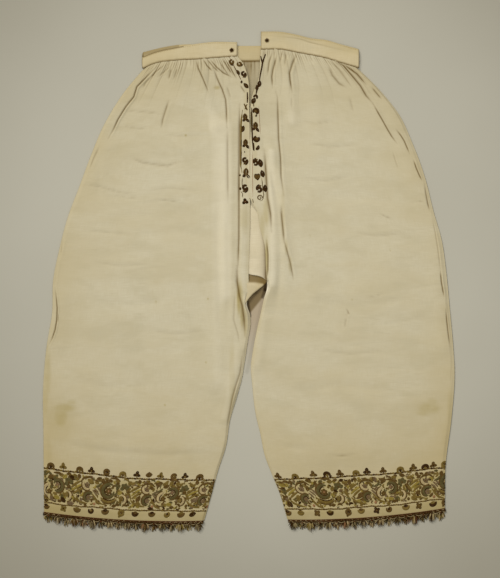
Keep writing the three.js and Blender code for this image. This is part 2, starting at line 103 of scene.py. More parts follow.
RIGHT_FRONT = [
    (22, 430), (21, 406), (20, 388), (16, 368), (8, 349), (4.5, 329), (4, 286), (4, 153),
    (16, 130), (21, 101), (30, 68), (32, 32),
] + RIGHT_INSEAM
LEFT_BACK = [(3, 409), (3, 88), (0, 16)] + LEFT_INSEAM
RIGHT_BACK = [(3.1, 409), (3.1, 88)] + RIGHT_INSEAM

# Band sections: x, lower edge, upper edge.
LEFT_BAND_FRONT = [
    (-21, 417.5, 444), (-71, 414, 444), (-95, 412, 441), (-134, 410, 434), (-177, 403, 424),
    (-194, 395.5, 417),
]
BAND_BACK = [
    (-194, 395.5, 426), (-162, 405, 434), (-134, 410, 439), (-80, 412, 440), (-21, 409, 437.5),
    (23, 409, 437.5), (95, 408, 437), (169, 403, 432), (202, 396.5, 425.5),
]
RIGHT_BAND_FRONT = [
    (202, 396.5, 431.5), (169, 406, 440.5), (145, 413.5, 447.5), (114, 420, 451.5), (92, 424, 457),
    (60, 430, 463), (23, 430, 463.5),
]

# Largest folds, as in the CAD source: x0, y0, x1, y1, half width, rise.
LEFT_FOLDS = [
    (-10, 150, -10, -10, 9, 1.8), (-22, 130, -23, -45, 8, -0.9), (-40, 290, -38, -20, 16, 2.0),
    (-95, 408, -60, 290, 12, 2.2), (-62, 285, -58, -180, 18, 1.6), (-130, 400, -118, 250, 18, 1.3),
    (-180, 385, -256, 268, 12, -0.9), (-230, 330, -285, 190, 16, 1.2),
    (-345, -30, -350, -115, 14, 1.2), (-20, -125, -45, -250, 12, 1.6),
    (-150, -60, -280, -75, 26, 0.9), (-90, -290, -230, -300, 26, 0.8),
]
RIGHT_FOLDS = [
    (42, 240, 44, 0, 11, 2.4), (26, 395, 12, 300, 10, 1.4), (64, 200, 66, 60, 12, 1.6),
    (72, 408, 80, 300, 12, 2.2), (120, 400, 128, 240, 18, 1.3), (178, 385, 270, 262, 12, -0.9),
    (262, 300, 322, 150, 14, 1.2), (345, 40, 362, -120, 14, 1.1), (28, -70, 16, -150, 12, 1.5),
    (130, -20, 260, -35, 26, 0.9), (110, -318, 210, -320, 24, 0.9),
]

# Creases of the front, by pixels of the photograph down each line, with half width and depth in mm.
LEFT_CREASES = [
    ([(157, 67), (146, 78), (137, 87), (134, 97), (126, 107), (118, 120), (113.5, 130), (108.5, 139)], 1.4,
     1.9),
    ([(196.3, 60), (198.3, 68.8), (202.3, 77.5), (206.3, 86.9), (208.5, 93)], 1.5, 1.4),
    ([(203.6, 60), (207, 66), (212.3, 71.5)], 1.3, 1.2),
    ([(207, 59.5), (214, 68), (219, 72.6)], 1.2, 1.0),
    ([(210.3, 60), (217, 68), (223.7, 73.5), (231.8, 77.5)], 1.4, 1.2),
    ([(213, 68), (218.4, 81.5), (222.4, 90), (225.7, 100), (226.4, 110), (227, 128)], 1.9, 1.3),
    ([(222.4, 59.4), (232.4, 74.8)], 1.3, 1.1),
    ([(226.4, 61.4), (236.4, 78.8)], 1.3, 1.1),
    ([(220.4, 63.4), (228.4, 75.5)], 1.2, 0.9),
    ([(163.8, 66), (156, 72), (150.5, 78.5)], 1.2, 0.9),
    ([(170.5, 66.5), (164, 72.5), (158, 77.5)], 1.2, 0.7),
    ([(240.5, 86), (245, 93)], 1.8, 0.9),
    ([(171.5, 69), (168.8, 79.5)], 2.0, 0.9),
    ([(177.5, 69), (174.2, 79.5)], 2.0, 0.7),
    ([(168.8, 101), (165.5, 111), (162.8, 119.7), (161.4, 128)], 2.2, 0.9),
    ([(150.7, 77.5), (145.4, 83.5), (143.3, 88)], 2.2, 0.7),
    ([(227, 86.9), (231, 99)], 2.0, 0.6),
    ([(227.5, 128), (227.5, 160), (228, 203)], 3.2, 0.7),
    ([(239.5, 174), (239, 200), (238.9, 237), (238, 265), (237, 272)], 2.2, 1.3),
    ([(237, 266), (237.2, 282), (239.4, 296), (242, 305), (244, 318), (245, 336)], 3.0, 1.9),
    ([(235.2, 292), (234.3, 306), (233.8, 320), (238, 334), (239.8, 345)], 2.0, 0.6),
    ([(243, 351), (240, 373), (236, 385), (232.6, 397), (228, 420), (226.5, 432)], 2.2, 0.9),
    ([(219, 185), (218, 250), (220, 300), (221, 350)], 7.0, 1.3),
    ([(239.8, 104), (239.4, 130), (239.2, 160), (238.6, 200)], 2.2, 1.2),
    ([(229, 200), (228, 240), (229, 290), (226, 340)], 6.0, 1.0),
    ([(54.8, 287), (56.2, 296), (57.4, 308), (57, 320), (55.3, 330), (52.5, 338), (48, 346.5)], 1.2, 1.5),
    ([(58.8, 314), (58.4, 322)], 1.2, 0.7),
    ([(99, 148), (94, 158), (90, 168)], 2.6, 0.6),
    ([(62.5, 238), (61, 254)], 1.8, 0.8),
    ([(57, 262), (55.6, 276), (54.6, 286)], 1.6, 0.5),
    ([(95, 150), (100, 170), (98, 200)], 6.0, 0.5),
    ([(90, 300), (130, 306), (170, 300)], 7.0, 0.5),
    ([(70, 380), (110, 388), (160, 384)], 8.0, 0.5),
    ([(130, 236), (180, 232), (210, 240)], 7.0, 0.45),
    ([(131, 158), (142, 162.5), (155, 164.5), (168, 166), (180, 161)], 3.0, 0.55),
    ([(83, 184), (100, 187), (118, 192), (136, 195)], 2.4, 0.42),
    ([(148, 190), (172, 188.5), (200, 191)], 2.6, 0.4),
    ([(156, 199), (170, 201), (184, 203)], 1.6, 0.45), ([(85, 230), (110, 232.5), (136, 235)], 2.0, 0.4),
    ([(123, 126), (135, 128.5), (147, 129)], 2.0, 0.45),
    ([(113, 195), (126, 197.5), (138.6, 198.7)], 1.8, 0.4),
    ([(124, 111), (142, 112), (162, 114)], 2.2, 0.45), ([(164, 135), (186, 136.5), (208, 135)], 2.6, 0.4),
    ([(95, 262), (120, 266), (150, 264)], 3.0, 0.4), ([(150, 330), (175, 334), (205, 331)], 3.2, 0.4),
    ([(60, 443), (110, 452), (170, 455), (215, 452)], 5.0, 0.5),
]
RIGHT_CREASES = [
    ([(271.8, 54), (269, 63), (267.6, 75)], 1.8, 1.0),
    ([(276.8, 56), (272.9, 70), (271.8, 77), (272.5, 88)], 2.0, 1.3),
    ([(296.4, 54), (292.2, 64.5), (289.4, 73.6), (290, 80.6), (292, 93)], 2.2, 1.4),
    ([(282, 52), (280, 62)], 1.8, 0.8),
    ([(286, 53), (284.5, 66)], 1.8, 0.7),
    ([(275.4, 91), (277.5, 98), (278, 119), (278.6, 139), (280.5, 158), (281, 177), (283.7, 196)],
     2.0, 1.2),
    ([(281.5, 206), (281.4, 214), (283, 230), (284.2, 243)], 2.2, 1.5),
    ([(333.6, 60.3), (343.4, 66), (351, 75), (360.3, 86.2), (366, 96), (373, 104)], 2.4, 1.5),
    ([(373, 104), (378, 113), (382.6, 121), (387, 129), (391.5, 136.5), (397, 144)], 1.3, 1.5),
    ([(344, 65), (356.8, 74.3), (366, 85)], 2.2, 1.4),
    ([(330, 61), (339.2, 70), (351.8, 87.6)], 2.0, 0.7),
    ([(328.7, 67), (332.2, 75.7), (339.2, 84), (346.2, 87.6)], 3.0, 0.8),
    ([(349.7, 98), (353, 112)], 3.0, 0.5),
    ([(291.5, 98), (291.5, 108)], 2.2, 0.5),
    ([(372, 88), (376, 93), (381, 99)], 2.0, 1.0),
    ([(396, 130), (400.5, 135.5), (404, 141), (407, 148), (409.5, 154)], 1.3, 1.3),
    ([(413.4, 160), (416, 168), (419, 175), (422.3, 181.5)], 1.2, 1.2),
    ([(424.6, 184), (425.8, 193), (427.6, 203), (429.6, 211)], 1.5, 1.7),
    ([(393, 153), (396, 163), (398.4, 169)], 1.2, 0.5),
    ([(432, 217), (435, 232), (437.6, 248), (439.4, 262), (440.4, 272)], 1.2, 0.6),
    ([(440.3, 271), (441.2, 282), (442.6, 290), (444, 297)], 1.3, 1.3),
    ([(445.8, 309), (446.6, 320), (448.2, 334), (450.1, 347)], 1.3, 1.6),
    ([(451.3, 351), (451.4, 366), (450.6, 384)], 1.2, 0.5),
    ([(264.5, 150), (266, 175), (267.5, 198), (270.5, 214), (271.5, 232)], 3.0, 1.7),
    ([(260.7, 128), (265, 150), (271, 172), (276.5, 196), (278.5, 212)], 5.0, 1.4),
    ([(279, 212), (281, 240), (280, 275), (276, 310)], 6.0, 1.0),
    ([(284, 240), (287, 251), (290.5, 264), (293.5, 280)], 2.2, 1.0),
    ([(266.5, 240), (268, 255), (267.9, 270), (266.7, 279)], 1.2, 1.2),
    ([(380, 213.8), (386, 217), (392, 219)], 1.3, 0.55), ([(410.5, 202), (423, 201.5)], 1.3, 0.5),
    ([(346, 309), (349, 313), (345.4, 315)], 1.2, 0.75), ([(346, 318), (345, 327)], 1.2, 0.7),
    ([(368, 297), (376, 296), (383, 293.5)], 1.6, 0.42), ([(306, 143), (330, 147), (356, 145)], 3.0, 0.42),
    ([(300, 178), (326, 181), (352, 176)], 2.6, 0.4), ([(352, 232), (378, 236), (404, 233)], 3.0, 0.4),
    ([(300, 122), (316, 124), (334, 121)], 2.2, 0.42), ([(318, 350), (350, 354), (384, 351)], 3.2, 0.4),
    ([(320, 200), (360, 196), (400, 204)], 8.0, 0.45),
    ([(300, 300), (350, 306), (410, 300)], 8.0, 0.5),
    ([(290, 392), (340, 386), (400, 392)], 8.0, 0.5),
    ([(329, 454.6), (342, 455.2), (356, 453.6)], 1.5, 0.62),
    ([(280, 446), (310, 450)], 4.0, 0.4),
]

# ------------------------------------------------------------------ small helpers


def photo(points):
    """Pixels of the photograph as drawing millimetres."""
    return [((x - PHOTO_ZERO[0]) * PIXEL, (PHOTO_ZERO[1] - y) * PIXEL) for x, y in points]


def smooth(xs, ys, x):
    """A curve through points with rising xs: cubic pieces with soft tangents."""
    xs, ys, x = np.asarray(xs, float), np.asarray(ys, float), np.asarray(x, float)
    slopes = np.gradient(ys, xs)
    i = np.clip(np.searchsorted(xs, x) - 1, 0, len(xs) - 2)
    width = xs[i + 1] - xs[i]
    t = np.clip((x - xs[i]) / width, 0, 1)
    a, b = ys[i], ys[i + 1]
    ma, mb = slopes[i] * width, slopes[i + 1] * width
    t2, t3 = t * t, t * t * t
    return (2 * t3 - 3 * t2 + 1) * a + (t3 - 2 * t2 + t) * ma + (3 * t2 - 2 * t3) * b + (t3 - t2) * mb


def edge_x(edge, y):
    rows = edge[::-1]
    return smooth([p[1] for p in rows], [p[0] for p in rows], y)


def band_edge(sections, x, column):
    rows = sorted(sections)
    return smooth([r[0] for r in rows], [r[column] for r in rows], x)


def uneven(n, seed):
    """A repeatable value from 0 to 1 for item n; the CAD source uses the same one."""
    wave = np.sin(np.asarray(n, float) * 12.9898 + seed * 78.233) * 43758.5453
    return wave - np.floor(wave)


def bell(off, width):
    """A soft bump: 1 where off is 0, and about a third one width away."""
    return np.exp(-((off / width) ** 2))


def soft_step(t):
    t = np.clip(t, 0, 1)
    return t * t * (3 - 2 * t)


def near_line(x, y, points):
    """Distance to a line of points, the signed side and the share of the way along it."""
    best = np.full(np.shape(x), 1e9)
    side = np.zeros(np.shape(x))
    share = np.zeros(np.shape(x))
    lengths = [math.dist(a, b) for a, b in zip(points, points[1:])]
    total, run = sum(lengths), 0.0
    for (x0, y0), (x1, y1), length in zip(points, points[1:], lengths):
        dx, dy = x1 - x0, y1 - y0
        t = np.clip(((x - x0) * dx + (y - y0) * dy) / (length * length), 0, 1)
        ox, oy = x - x0 - dx * t, y - y0 - dy * t
        off = np.hypot(ox, oy)
        closer = off < best
        best = np.where(closer, off, best)
        side = np.where(closer, np.sign(dx * oy - dy * ox), side)
        share = np.where(closer, (run + t * length) / total, share)
        run += length
    return best, side, share


# ------------------------------------------------------------------ the surface of a leg


class Leg:
    """Column q runs 0..1 over the front from its inner edge, 1..2 round the fold, 2..3 along the back."""

    def __init__(self, name, outer, front, back, band_front, folds, creases, seed, crotch):
        self.name, self.outer, self.front, self.back = name, outer, front, back
        self.band_front, self.folds, self.seed, self.crotch = band_front, folds, seed, crotch
        self.creases = [(photo(line), half, depth) for line, half, depth in creases]
        self.side = math.copysign(1, outer[0][0])
        rng = np.random.default_rng(seed)
        self.ripples = [
            (rng.uniform(0.25, 0.8) / s, s, rng.uniform(0, 6.3), rng.uniform(-1, 1))
            for s in (28, 34, 45, 58, 75, 90, 120, 150)
        ]

    def panel(self, t, d, is_front):
        fall = d / LEG_LENGTH
        edge = self.front if is_front else self.back
        top, low = edge[0][1], edge[-1][1]
        y_in = top + (low - top) * fall
        y_out = self.outer[0][1] + (self.outer[-1][1] - self.outer[0][1]) * fall
        x_in, x_out = edge_x(edge, y_in), edge_x(self.outer, y_out)
        x = x_in + (x_out - x_in) * t
        sections = self.band_front if is_front else BAND_BACK
        top_x = edge[0][0] + (self.outer[0][0] - edge[0][0]) * t
        straight = top + (self.outer[0][1] - top) * t
        blend = bell(np.maximum(d, 0), WAIST_BLEND)
        sag = HEM_SAG * 4 * t * (1 - t) * fall**4
        y = y_in + (y_out - y_in) * t + (band_edge(sections, top_x, 1) - straight) * blend - sag
        return x - self.side * FRONT_MID * 0.5 * t, y

    def gathers(self, share, d, seed, rise):
        """Rounded gathers with sharp valleys between them, longest in some and soon gone in others; their
        valleys are darkened, dirt with painted shade.
        """
        phase = GATHERS * share + 1 / 6 + 0.16 * np.sin(9.3 * share + seed)
        index = np.floor(phase)
        off_valley = 1 - np.abs(2 * (phase - index) - 1)
        reach = GATHER_REACH * (0.35 + 1.5 * uneven(index, seed) ** 2)
        strength = 0.3 + 0.7 * uneven(index, seed + 1) ** 1.3
        grown = 0.45 + 0.55 * soft_step(d / 14)
        fall = bell(np.maximum(d, 0), reach)
        long = rise * strength * (1 - (1 - off_valley) ** 3 - 0.5) * grown * fall
        fine = 3.2 * phase + 0.55 * np.sin(17 * share) + 0.3 * np.sin(41 * share + seed)
        fine_index = np.floor(fine)
        off_fine = 1 - np.abs(2 * (fine - fine_index) - 1)
        fine_reach = 8 + 19 * uneven(fine_index, seed + 2) ** 2
        fine_fall = bell(np.maximum(d, 0), fine_reach)
        fine_strength = (0.3 + 0.7 * uneven(fine_index, seed + 6) ** 1.3) * (0.35 + 0.65 * soft_step(d / 9))
        short = 1.05 * ((1 - (1 - off_fine) ** 2.2) - 0.6) * fine_fall * fine_strength
        # painted shade with some dirt along the valleys of the gathers
        valley_dirt_and_shade = bell(off_valley, 0.13) * fall * strength * 0.56
        valley_dirt_and_shade = valley_dirt_and_shade + bell(off_fine, 0.24) * fine_fall * fine_strength * 1.45
        return long + short, valley_dirt_and_shade

    def relief(self, x, y):
        """Height of the front's folds and creases, how dark the creases are painted, soil with painted shade,
        and how much paler the ridges are painted, a painted highlight.
        """
        height = np.zeros(np.shape(x))
        soil_and_shade = np.zeros(np.shape(x))
        for x0, y0, x1, y1, half, rise in self.folds:
            off, _, _ = near_line(x, y, [(x0, y0), (x1, y1)])
            height += rise * bell(off, half)
        # painted highlight: the raised ridges of the largest folds are painted paler
        ridge_highlight = np.clip((height - 1.2) / 1.2, 0, 1)
        for line, half, depth in self.creases:
            off, side, share = near_line(x, y, line)
            taper = np.clip(np.sin(np.pi * np.clip(share, 0.04, 0.96)) * 1.6, 0, 1)
            valley = bell(off, half) * taper
            lip = bell(off * side - 2.3 * half, 1.5 * half) * taper
            height += 0.6 * depth * lip - 1.15 * depth * valley
            # painted shade with some soil: the narrower creases are darkened along their valleys
            if half < 3.3:
                core = bell(off, max(0.9, 0.5 * half)) * taper
                soil_and_shade += (0.25 * valley + 0.72 * core) * min(1.0, (depth - 0.3) / 0.85)
        for slope, size, turn, lean in self.ripples:
            along = y / size + 0.7 * np.sin(x / (size * 2.1) + turn)
            height += 0.42 * slope * size * np.sin(along * 1.9 + turn) * np.cos(lean * x / size + turn)
        return height, np.clip(soil_and_shade, 0, 1), ridge_highlight

    def point(self, q, d, details=None):
        """x, y and z of surface points; details, if given, gets their darkened share, soil and painted shade,
        and their pale share, painted highlight.
        """
        q, d = np.broadcast_arrays(np.asarray(q, float), np.asarray(d, float))
        share_front, share_back = np.clip(q, 0, 1), np.clip(3 - q, 0, 1)
        puff = np.where(
            d < PUFF_DEPTH,
            BAND_SEAT + WAIST_PUFF * np.clip(d, 0, None) / PUFF_DEPTH,
            (BAND_SEAT + WAIST_PUFF) * np.exp(-(d - PUFF_DEPTH) / PUFF_FADE),
        )
        t = panel_share(share_front)
        xf, yf = self.panel(t, d, True)
        fade = np.clip((1 - t) / SIDE_FADE, 0, 1)
        relief, soil_and_shade, ridge_highlight = self.relief(xf, yf)
        gathers, valley_dirt_and_shade = self.gathers(share_front, d, self.seed, 2.3)
        settle = soft_step(d / PUFF_DEPTH)
        hem = soft_step((LEG_LENGTH - d) / 60) * 0.75 + 0.25
        near_fold = np.clip((1 - t) / 0.022, 0, 1)
        fly_edge = 1.3 * bell(t, 0.02) * soft_step((yf - 250) / 80) * settle
        zf = FRONT_MID + puff * (0.55 + 0.45 * fade) + gathers * fade + relief * settle * hem * near_fold
        zf = zf + fly_edge
        zf = EDGE_TOP + (zf - EDGE_TOP) * soft_step((1 - t) / 0.02)
        crotch_lift = 4.2 * bell(yf - self.crotch + 22, 30) * bell(t, 0.055)
        zf = zf + crotch_lift
        closing = np.where(yf < self.crotch, soft_step(t / (0.35 * INSEAM_FADE)), 1.0)
        zf = INSEAM_MID + (zf - INSEAM_MID) * closing

        t_back = panel_share(share_back)
        xb, yb = self.panel(t_back, d, False)
        fade_back = np.clip((1 - t_back) / SIDE_FADE, 0, 1)
        lift, back_valley_dirt_and_shade = self.gathers(share_back, d, self.seed + 5, 1.5)
        lift = lift + 0.8 * bell(d, GATHER_REACH)
        zb = BACK_MID + np.maximum(lift, 0) * fade_back + 0.55 * soft_step((d - LEG_LENGTH + 105) / 30)

        turn = np.pi * np.clip(q - 1, 0, 1)
        on_fold = (q > 1) & (q < 2)
        swing = 0.5 - 0.5 * np.cos(turn)
        radius = (zf - zb) / 2
        x = np.where(q <= 1, xf, xb)
        y = np.where(q <= 1, yf, yb)
        z = np.where(q <= 1, zf, zb)
        x = np.where(on_fold, xf + (xb - xf) * swing + self.side * radius * np.sin(turn), x)
        y = np.where(on_fold, yf + (yb - yf) * swing, y)
        z = np.where(on_fold, (zf + zb) / 2 + radius * np.cos(turn), z)
        if details is not None:
            # painted shade on the back cloth, with some dirt: in the slit of the fly, in the valleys of its
            # gathers, and a dark line where it goes in under the band
            slit_shade = 0.36 * bell(xb, 26) * soft_step((yb - 290) / 60)
            seam = 0.9 * bell(d + 0.2, 1.4)
            behind = np.where(q >= 2, 1.1 * back_valley_dirt_and_shade * fade_back + slit_shade + seam, 0)
            # painted highlight along the front's inner edge near the crotch
            rim_highlight = bell(t, 0.012) * bell(yf - self.crotch + 17, 15)
            details["pale"] = np.where(q <= 1, 0.3 * ridge_highlight * soft_step((d - 60) / 80) + 0.9 * rim_highlight, 0)
            handled = 0.13 * soft_step((d - LEG_LENGTH + 18) / 9)
            soiled_and_shaded = np.where(q <= 1, soil_and_shade * near_fold + valley_dirt_and_shade * fade, behind)
            details["soil_and_shade"] = np.clip(soiled_and_shaded + handled, 0, 1)
        return np.stack([x, y, z], axis=-1)

    def survey(self, q, d):
        """Works out the surface once on a grid of columns q and rows d, for the cloth and the needlework."""
        grid_q, grid_d = np.meshgrid(q, d)
        self.details = {}
        self.columns, self.rows = q, d
        self.grid = self.point(grid_q, grid_d, self.details)
        down, across = np.gradient(self.grid, axis=0), np.gradient(self.grid, axis=1)
        normal = np.cross(down, across) * self.side
        self.normals = normal / (np.linalg.norm(normal, axis=-1, keepdims=True) + 1e-9)
        return grid_q, grid_d

    def frame_at(self, q, d):
        """Surface points with their outward normals, read between the rows and columns of the survey."""
        column = np.interp(q, self.columns, np.arange(len(self.columns)))
        row = np.interp(d, self.rows, np.arange(len(self.rows)))
        i = np.minimum(row.astype(int), len(self.rows) - 2)
        j = np.minimum(column.astype(int), len(self.columns) - 2)
        v, u = (row - i)[..., None], (column - j)[..., None]
        found = []
        for table in (self.grid, self.normals):
            upper = table[i, j] * (1 - u) + table[i, j + 1] * u
            lower = table[i + 1, j] * (1 - u) + table[i + 1, j + 1] * u
            found.append(upper * (1 - v) + lower * v)
        return found[0], found[1]

    def find(self, x, y):
        """The column and depth of front points that are given by their place in the drawing."""
        share = np.full(np.shape(x), 0.1)
        d = np.full(np.shape(x), 200.0)
        for _ in range(14):
            px, py = self.panel(panel_share(share), d, True)
            qx, _ = self.panel(panel_share(share + 0.01), d, True)
            share = np.clip(share + 0.8 * (x - px) / ((qx - px) / 0.01), -0.02, 1)
            d = np.clip(d + (py - y), -TUCK, LEG_LENGTH)
        return share, d


def panel_share(share):
    """Share of the width for an even share of the columns, which lie closer near the fly."""
    return 0.55 * share + 0.45 * share * share * (1.5 - 0.5 * share)


SCROLL_MIDDLE = 46.5
SCROLL_PITCH = 111.0
UPPER_LINE, LOWER_LINE = 75.5, 18.5
TOP_ROW_HEIGHT, LOW_ROW_HEIGHT = 82.0, 11.5

LEFT = Leg("left", LEFT_OUTER, LEFT_FRONT, LEFT_BACK, LEFT_BAND_FRONT, LEFT_FOLDS, LEFT_CREASES, 3, -20)
RIGHT = Leg("right", RIGHT_OUTER, RIGHT_FRONT, RIGHT_BACK, RIGHT_BAND_FRONT, RIGHT_FOLDS,
            RIGHT_CREASES, 11, 5)

# The drawing's zero in the row frame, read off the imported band.
band_low, band_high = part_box("waistband")
DRAWING_X = (band_low[0] + band_high[0]) / 2 / MM - (LEFT_BAND_FRONT[-1][0] + BAND_BACK[-1][0]) / 2
DRAWING_Y = band_high[1] / MM - BAND_TOP


def place(points):
    """Drawing millimetres as row-frame metres."""
    moved = np.array(points, float)
    moved[..., 0] += DRAWING_X
    moved[..., 1] += DRAWING_Y
    return moved * MM


# ------------------------------------------------------------------ meshes


def add_object(name, data):
    thing = bpy.data.objects.new(name, data)
    bpy.context.scene.collection.objects.link(thing)
    return thing


def make_mesh(name, verts, faces, materials, uvs=None, face_materials=None, point_values=None):
    """A smooth-shaded mesh object from arrays in drawing millimetres; faces are quads."""
    mesh = bpy.data.meshes.new(name)
    faces = np.asarray(faces, np.int32)
    sides = faces.shape[1]
    mesh.vertices.add(len(verts))
    mesh.vertices.foreach_set("co", place(verts).astype(np.float32).ravel())
    mesh.loops.add(faces.size)
    mesh.loops.foreach_set("vertex_index", faces.ravel())
    mesh.polygons.add(len(faces))
    mesh.polygons.foreach_set("loop_start", np.arange(0, faces.size, sides, dtype=np.int32))
    mesh.polygons.foreach_set("loop_total", np.full(len(faces), sides, np.int32))
    mesh.update(calc_edges=True)
    mesh.polygons.foreach_set("use_smooth", np.ones(len(faces), bool))
    for material in materials:
        mesh.materials.append(material)
    if face_materials is not None:
        mesh.polygons.foreach_set("material_index", np.asarray(face_materials, np.int32))
    if uvs is not None:
        layer = mesh.uv_layers.new(name="cloth")
        layer.data.foreach_set("uv", np.asarray(uvs, np.float32)[faces.ravel()].ravel())
    for key, values in (point_values or {}).items():
        layer = mesh.attributes.new(key, "FLOAT", "POINT")
        layer.data.foreach_set("value", np.asarray(values, np.float32))
    mesh.validate()
    return add_object(name, mesh)


def grid_faces(rows, columns, flip):
    """Quads of a grid of points, row by row."""
    start = (np.arange(rows - 1)[:, None] * columns + np.arange(columns - 1)[None, :]).ravel()
    quads = np.stack([start, start + columns, start + columns + 1, start + 1], axis=1)
    return quads[:, ::-1] if flip else quads


def ring_quads(stations, sides):
    """Quads between closed rings, ring by ring."""
    start = np.arange(stations - 1)[:, None] * sides
    base, after = start + np.arange(sides)[None, :], start + np.roll(np.arange(sides), -1)[None, :]
    return np.stack([base, after, after + sides, base + sides], axis=-1).reshape(-1, 4)


def run_along(points):
    """Length from the first point to each one."""
    return np.concatenate([[0], np.cumsum(np.linalg.norm(np.diff(points, axis=0), axis=1))])


class Threads:
    """Collects closed ribbons and tubes of silk, then makes them one mesh."""

    def __init__(self):
        self.verts, self.faces, self.mats, self.uvs, self.count = [], [], [], [], 0

    def tube(self, rings, material, length=None):
        """rings is stations x points x 3; the ends are closed."""
        stations, sides = rings.shape[:2]
        start = self.count
        quads = ring_quads(stations, sides) + start
        caps = []
        last = start + (stations - 1) * sides
        for k in range(1, sides - 1, 2):
            j = min(k + 2, sides - 1)
            between = k + 1 if j > k + 1 else k
            caps.append([start, start + j, start + between, start + k])
            caps.append([last, last + k, last + between, last + j])
        rings[..., 2] = np.maximum(rings[..., 2], LOWEST_THREAD)
        self.verts.append(rings.reshape(-1, 3))
        self.faces.append(quads)
        self.faces.append(np.array(caps))
        self.mats += [material] * (len(quads) + len(caps))
        total = length if length is not None else run_along(rings.mean(axis=1))[-1]
        along = np.linspace(0, total, stations)
        u = np.repeat(along, sides)
        v = np.tile(np.linspace(0, 1, sides), stations)
        self.uvs.append(np.stack([u, v], axis=1))
        self.count += stations * sides

    def object(self, name, materials):
        verts, quads, uvs = (np.concatenate(part) for part in (self.verts, self.faces, self.uvs))
        return make_mesh(name, verts, quads, materials, uvs, self.mats)


def round_tube(threads, path, radius, material, sides=6):
    """A round thread along path; radius may change down it."""
    path = np.asarray(path, float)
    radius = np.broadcast_to(np.asarray(radius, float), len(path))
    tangent = np.gradient(path, axis=0)
    tangent /= np.linalg.norm(tangent, axis=1, keepdims=True) + 1e-9
    up = np.where(np.abs(tangent[:, 2:3]) > 0.9, [[1.0, 0, 0]], [[0, 0, 1.0]])
    across = np.cross(tangent, up)
    across /= np.linalg.norm(across, axis=1, keepdims=True) + 1e-9
    over = np.cross(across, tangent)
    turn = np.linspace(0, 2 * np.pi, sides, endpoint=False)
    rings = (
        path[:, None, :]
        + across[:, None, :] * (np.cos(turn)[None, :, None] * radius[:, None, None])
        + over[:, None, :] * (np.sin(turn)[None, :, None] * radius[:, None, None])
    )
    threads.tube(rings, material)


# Section of a satin-stitched ribbon: share of its half width, share of its height.
RIBBON_SECTION = [(-1.0, 0.0), (-0.72, 0.7), (0.0, 1.0), (0.72, 0.7), (1.0, 0.0)]


def ribbon(threads, mapper, line, width, material, height=None, step=1.7):
    """A raised ribbon along a flat line of points, laid on a surface by mapper(x, y)."""
    line = np.asarray(line, float)
    lengths = run_along(line)
    count = int(np.clip(round(lengths[-1] / step), 4, 60)) + 1
    along = np.linspace(0, lengths[-1], count)
    x, y = np.interp(along, lengths, line[:, 0]), np.interp(along, lengths, line[:, 1])
    share = along / lengths[-1]
    width = np.interp(share, np.linspace(0, 1, len(width)), width) if np.ndim(width) else (
        width * np.clip(np.sin(np.pi * share) * 2.2, 0.35, 1))
    rise = height if height is not None else 0.34 + 0.16 * float(np.max(width)) ** 0.5
    dx, dy = np.gradient(x), np.gradient(y)
    norm = np.hypot(dx, dy) + 1e-9
    nx, ny = -dy / norm, dx / norm
    offset = np.array([s[0] for s in RIBBON_SECTION])
    lift = np.array([s[1] for s in RIBBON_SECTION])
    px = x[:, None] + nx[:, None] * offset[None, :] * width[:, None] / 2
    py = y[:, None] + ny[:, None] * offset[None, :] * width[:, None] / 2
    here, normal = mapper(px, py)
    tall = rise * np.clip(width / max(1e-6, np.max(width)), 0.25, 1) ** 0.5
    rings = here + normal * (lift[None, :] * tall[:, None] - 0.05)[..., None]
    threads.tube(rings, material, lengths[-1])


# ------------------------------------------------------------------ node materials


def rgb(red, green, blue):
    """A colour by its 0 to 255 screen values, as linear light."""
    values = [v / 255 for v in (red, green, blue)]
    return tuple(v / 12.92 if v <= 0.04045 else ((v + 0.055) / 1.055) ** 2.4 for v in values) + (1.0,)


class Nodes:
    """A new material; each method adds one node, given its inputs as values or as other nodes' outputs."""

    def __init__(self, name):
        self.material = bpy.data.materials.new(name)
        self.material.use_nodes = True
        self.tree = self.material.node_tree
        self.shader = self.tree.nodes["Principled BSDF"]
        coordinates = self.tree.nodes.new("ShaderNodeTexCoord")
        self.cloth, self.room = coordinates.outputs["UV"], coordinates.outputs["Object"]

    def put(self, socket, value):
        if isinstance(value, bpy.types.NodeSocket):
            self.tree.links.new(value, socket)
        else:
            socket.default_value = value

    def add(self, kind, inputs, output, **settings):
        node = self.tree.nodes.new("ShaderNode" + kind)
        for key, value in settings.items():
            setattr(node, key, value)
        for key, value in inputs.items():
            self.put(node.inputs[key], value)
        return node.outputs[output]

    def noise(self, vector, scale, detail, rough, stretch=(1, 1, 1), warp=0.0):
        vector = self.add("Mapping", {"Vector": vector, "Scale": stretch}, "Vector")
        inputs = {"Vector": vector, "Scale": scale, "Detail": detail, "Roughness": rough, "Distortion": warp}
        return self.add("TexNoise", inputs, "Fac")

    def ramp(self, value, low, high, out_low=0.0, out_high=1.0):
        inputs = {"Value": value, "From Min": low, "From Max": high, "To Min": out_low, "To Max": out_high}
        return self.add("MapRange", inputs, "Result", interpolation_type="SMOOTHSTEP")

    def calculate(self, operation, a, b):
        return self.add("Math", {0: a, 1: b}, "Value", operation=operation)

    def times(self, a, b):
        return self.calculate("MULTIPLY", a, b)

    def plus(self, a, b):
        return self.calculate("ADD", a, b)

    def vector(self, operation, a, b, output="Value"):
        return self.add("VectorMath", {0: a, 1: b}, output, operation=operation)

    def attribute(self, name):
        return self.add("Attribute", {}, "Fac", attribute_name=name)

    def mix(self, factor, a, b):
        """Colour a, or b where factor is 1; 6, 7 and 2 are the node's colour sockets."""
        return self.add("Mix", {0: factor, 6: a, 7: b}, 2, data_type="RGBA")

    def bump(self, height, strength, distance):
        inputs = {"Height": height, "Strength": strength, "Distance": distance}
        self.put(self.shader.inputs["Normal"], self.add("Bump", inputs, "Normal"))

    def surface(self, colour, roughness, specular):
        self.put(self.shader.inputs["Base Color"], colour)
        self.shader.inputs["Roughness"].default_value = roughness
        self.shader.inputs["Specular IOR Level"].default_value = specular


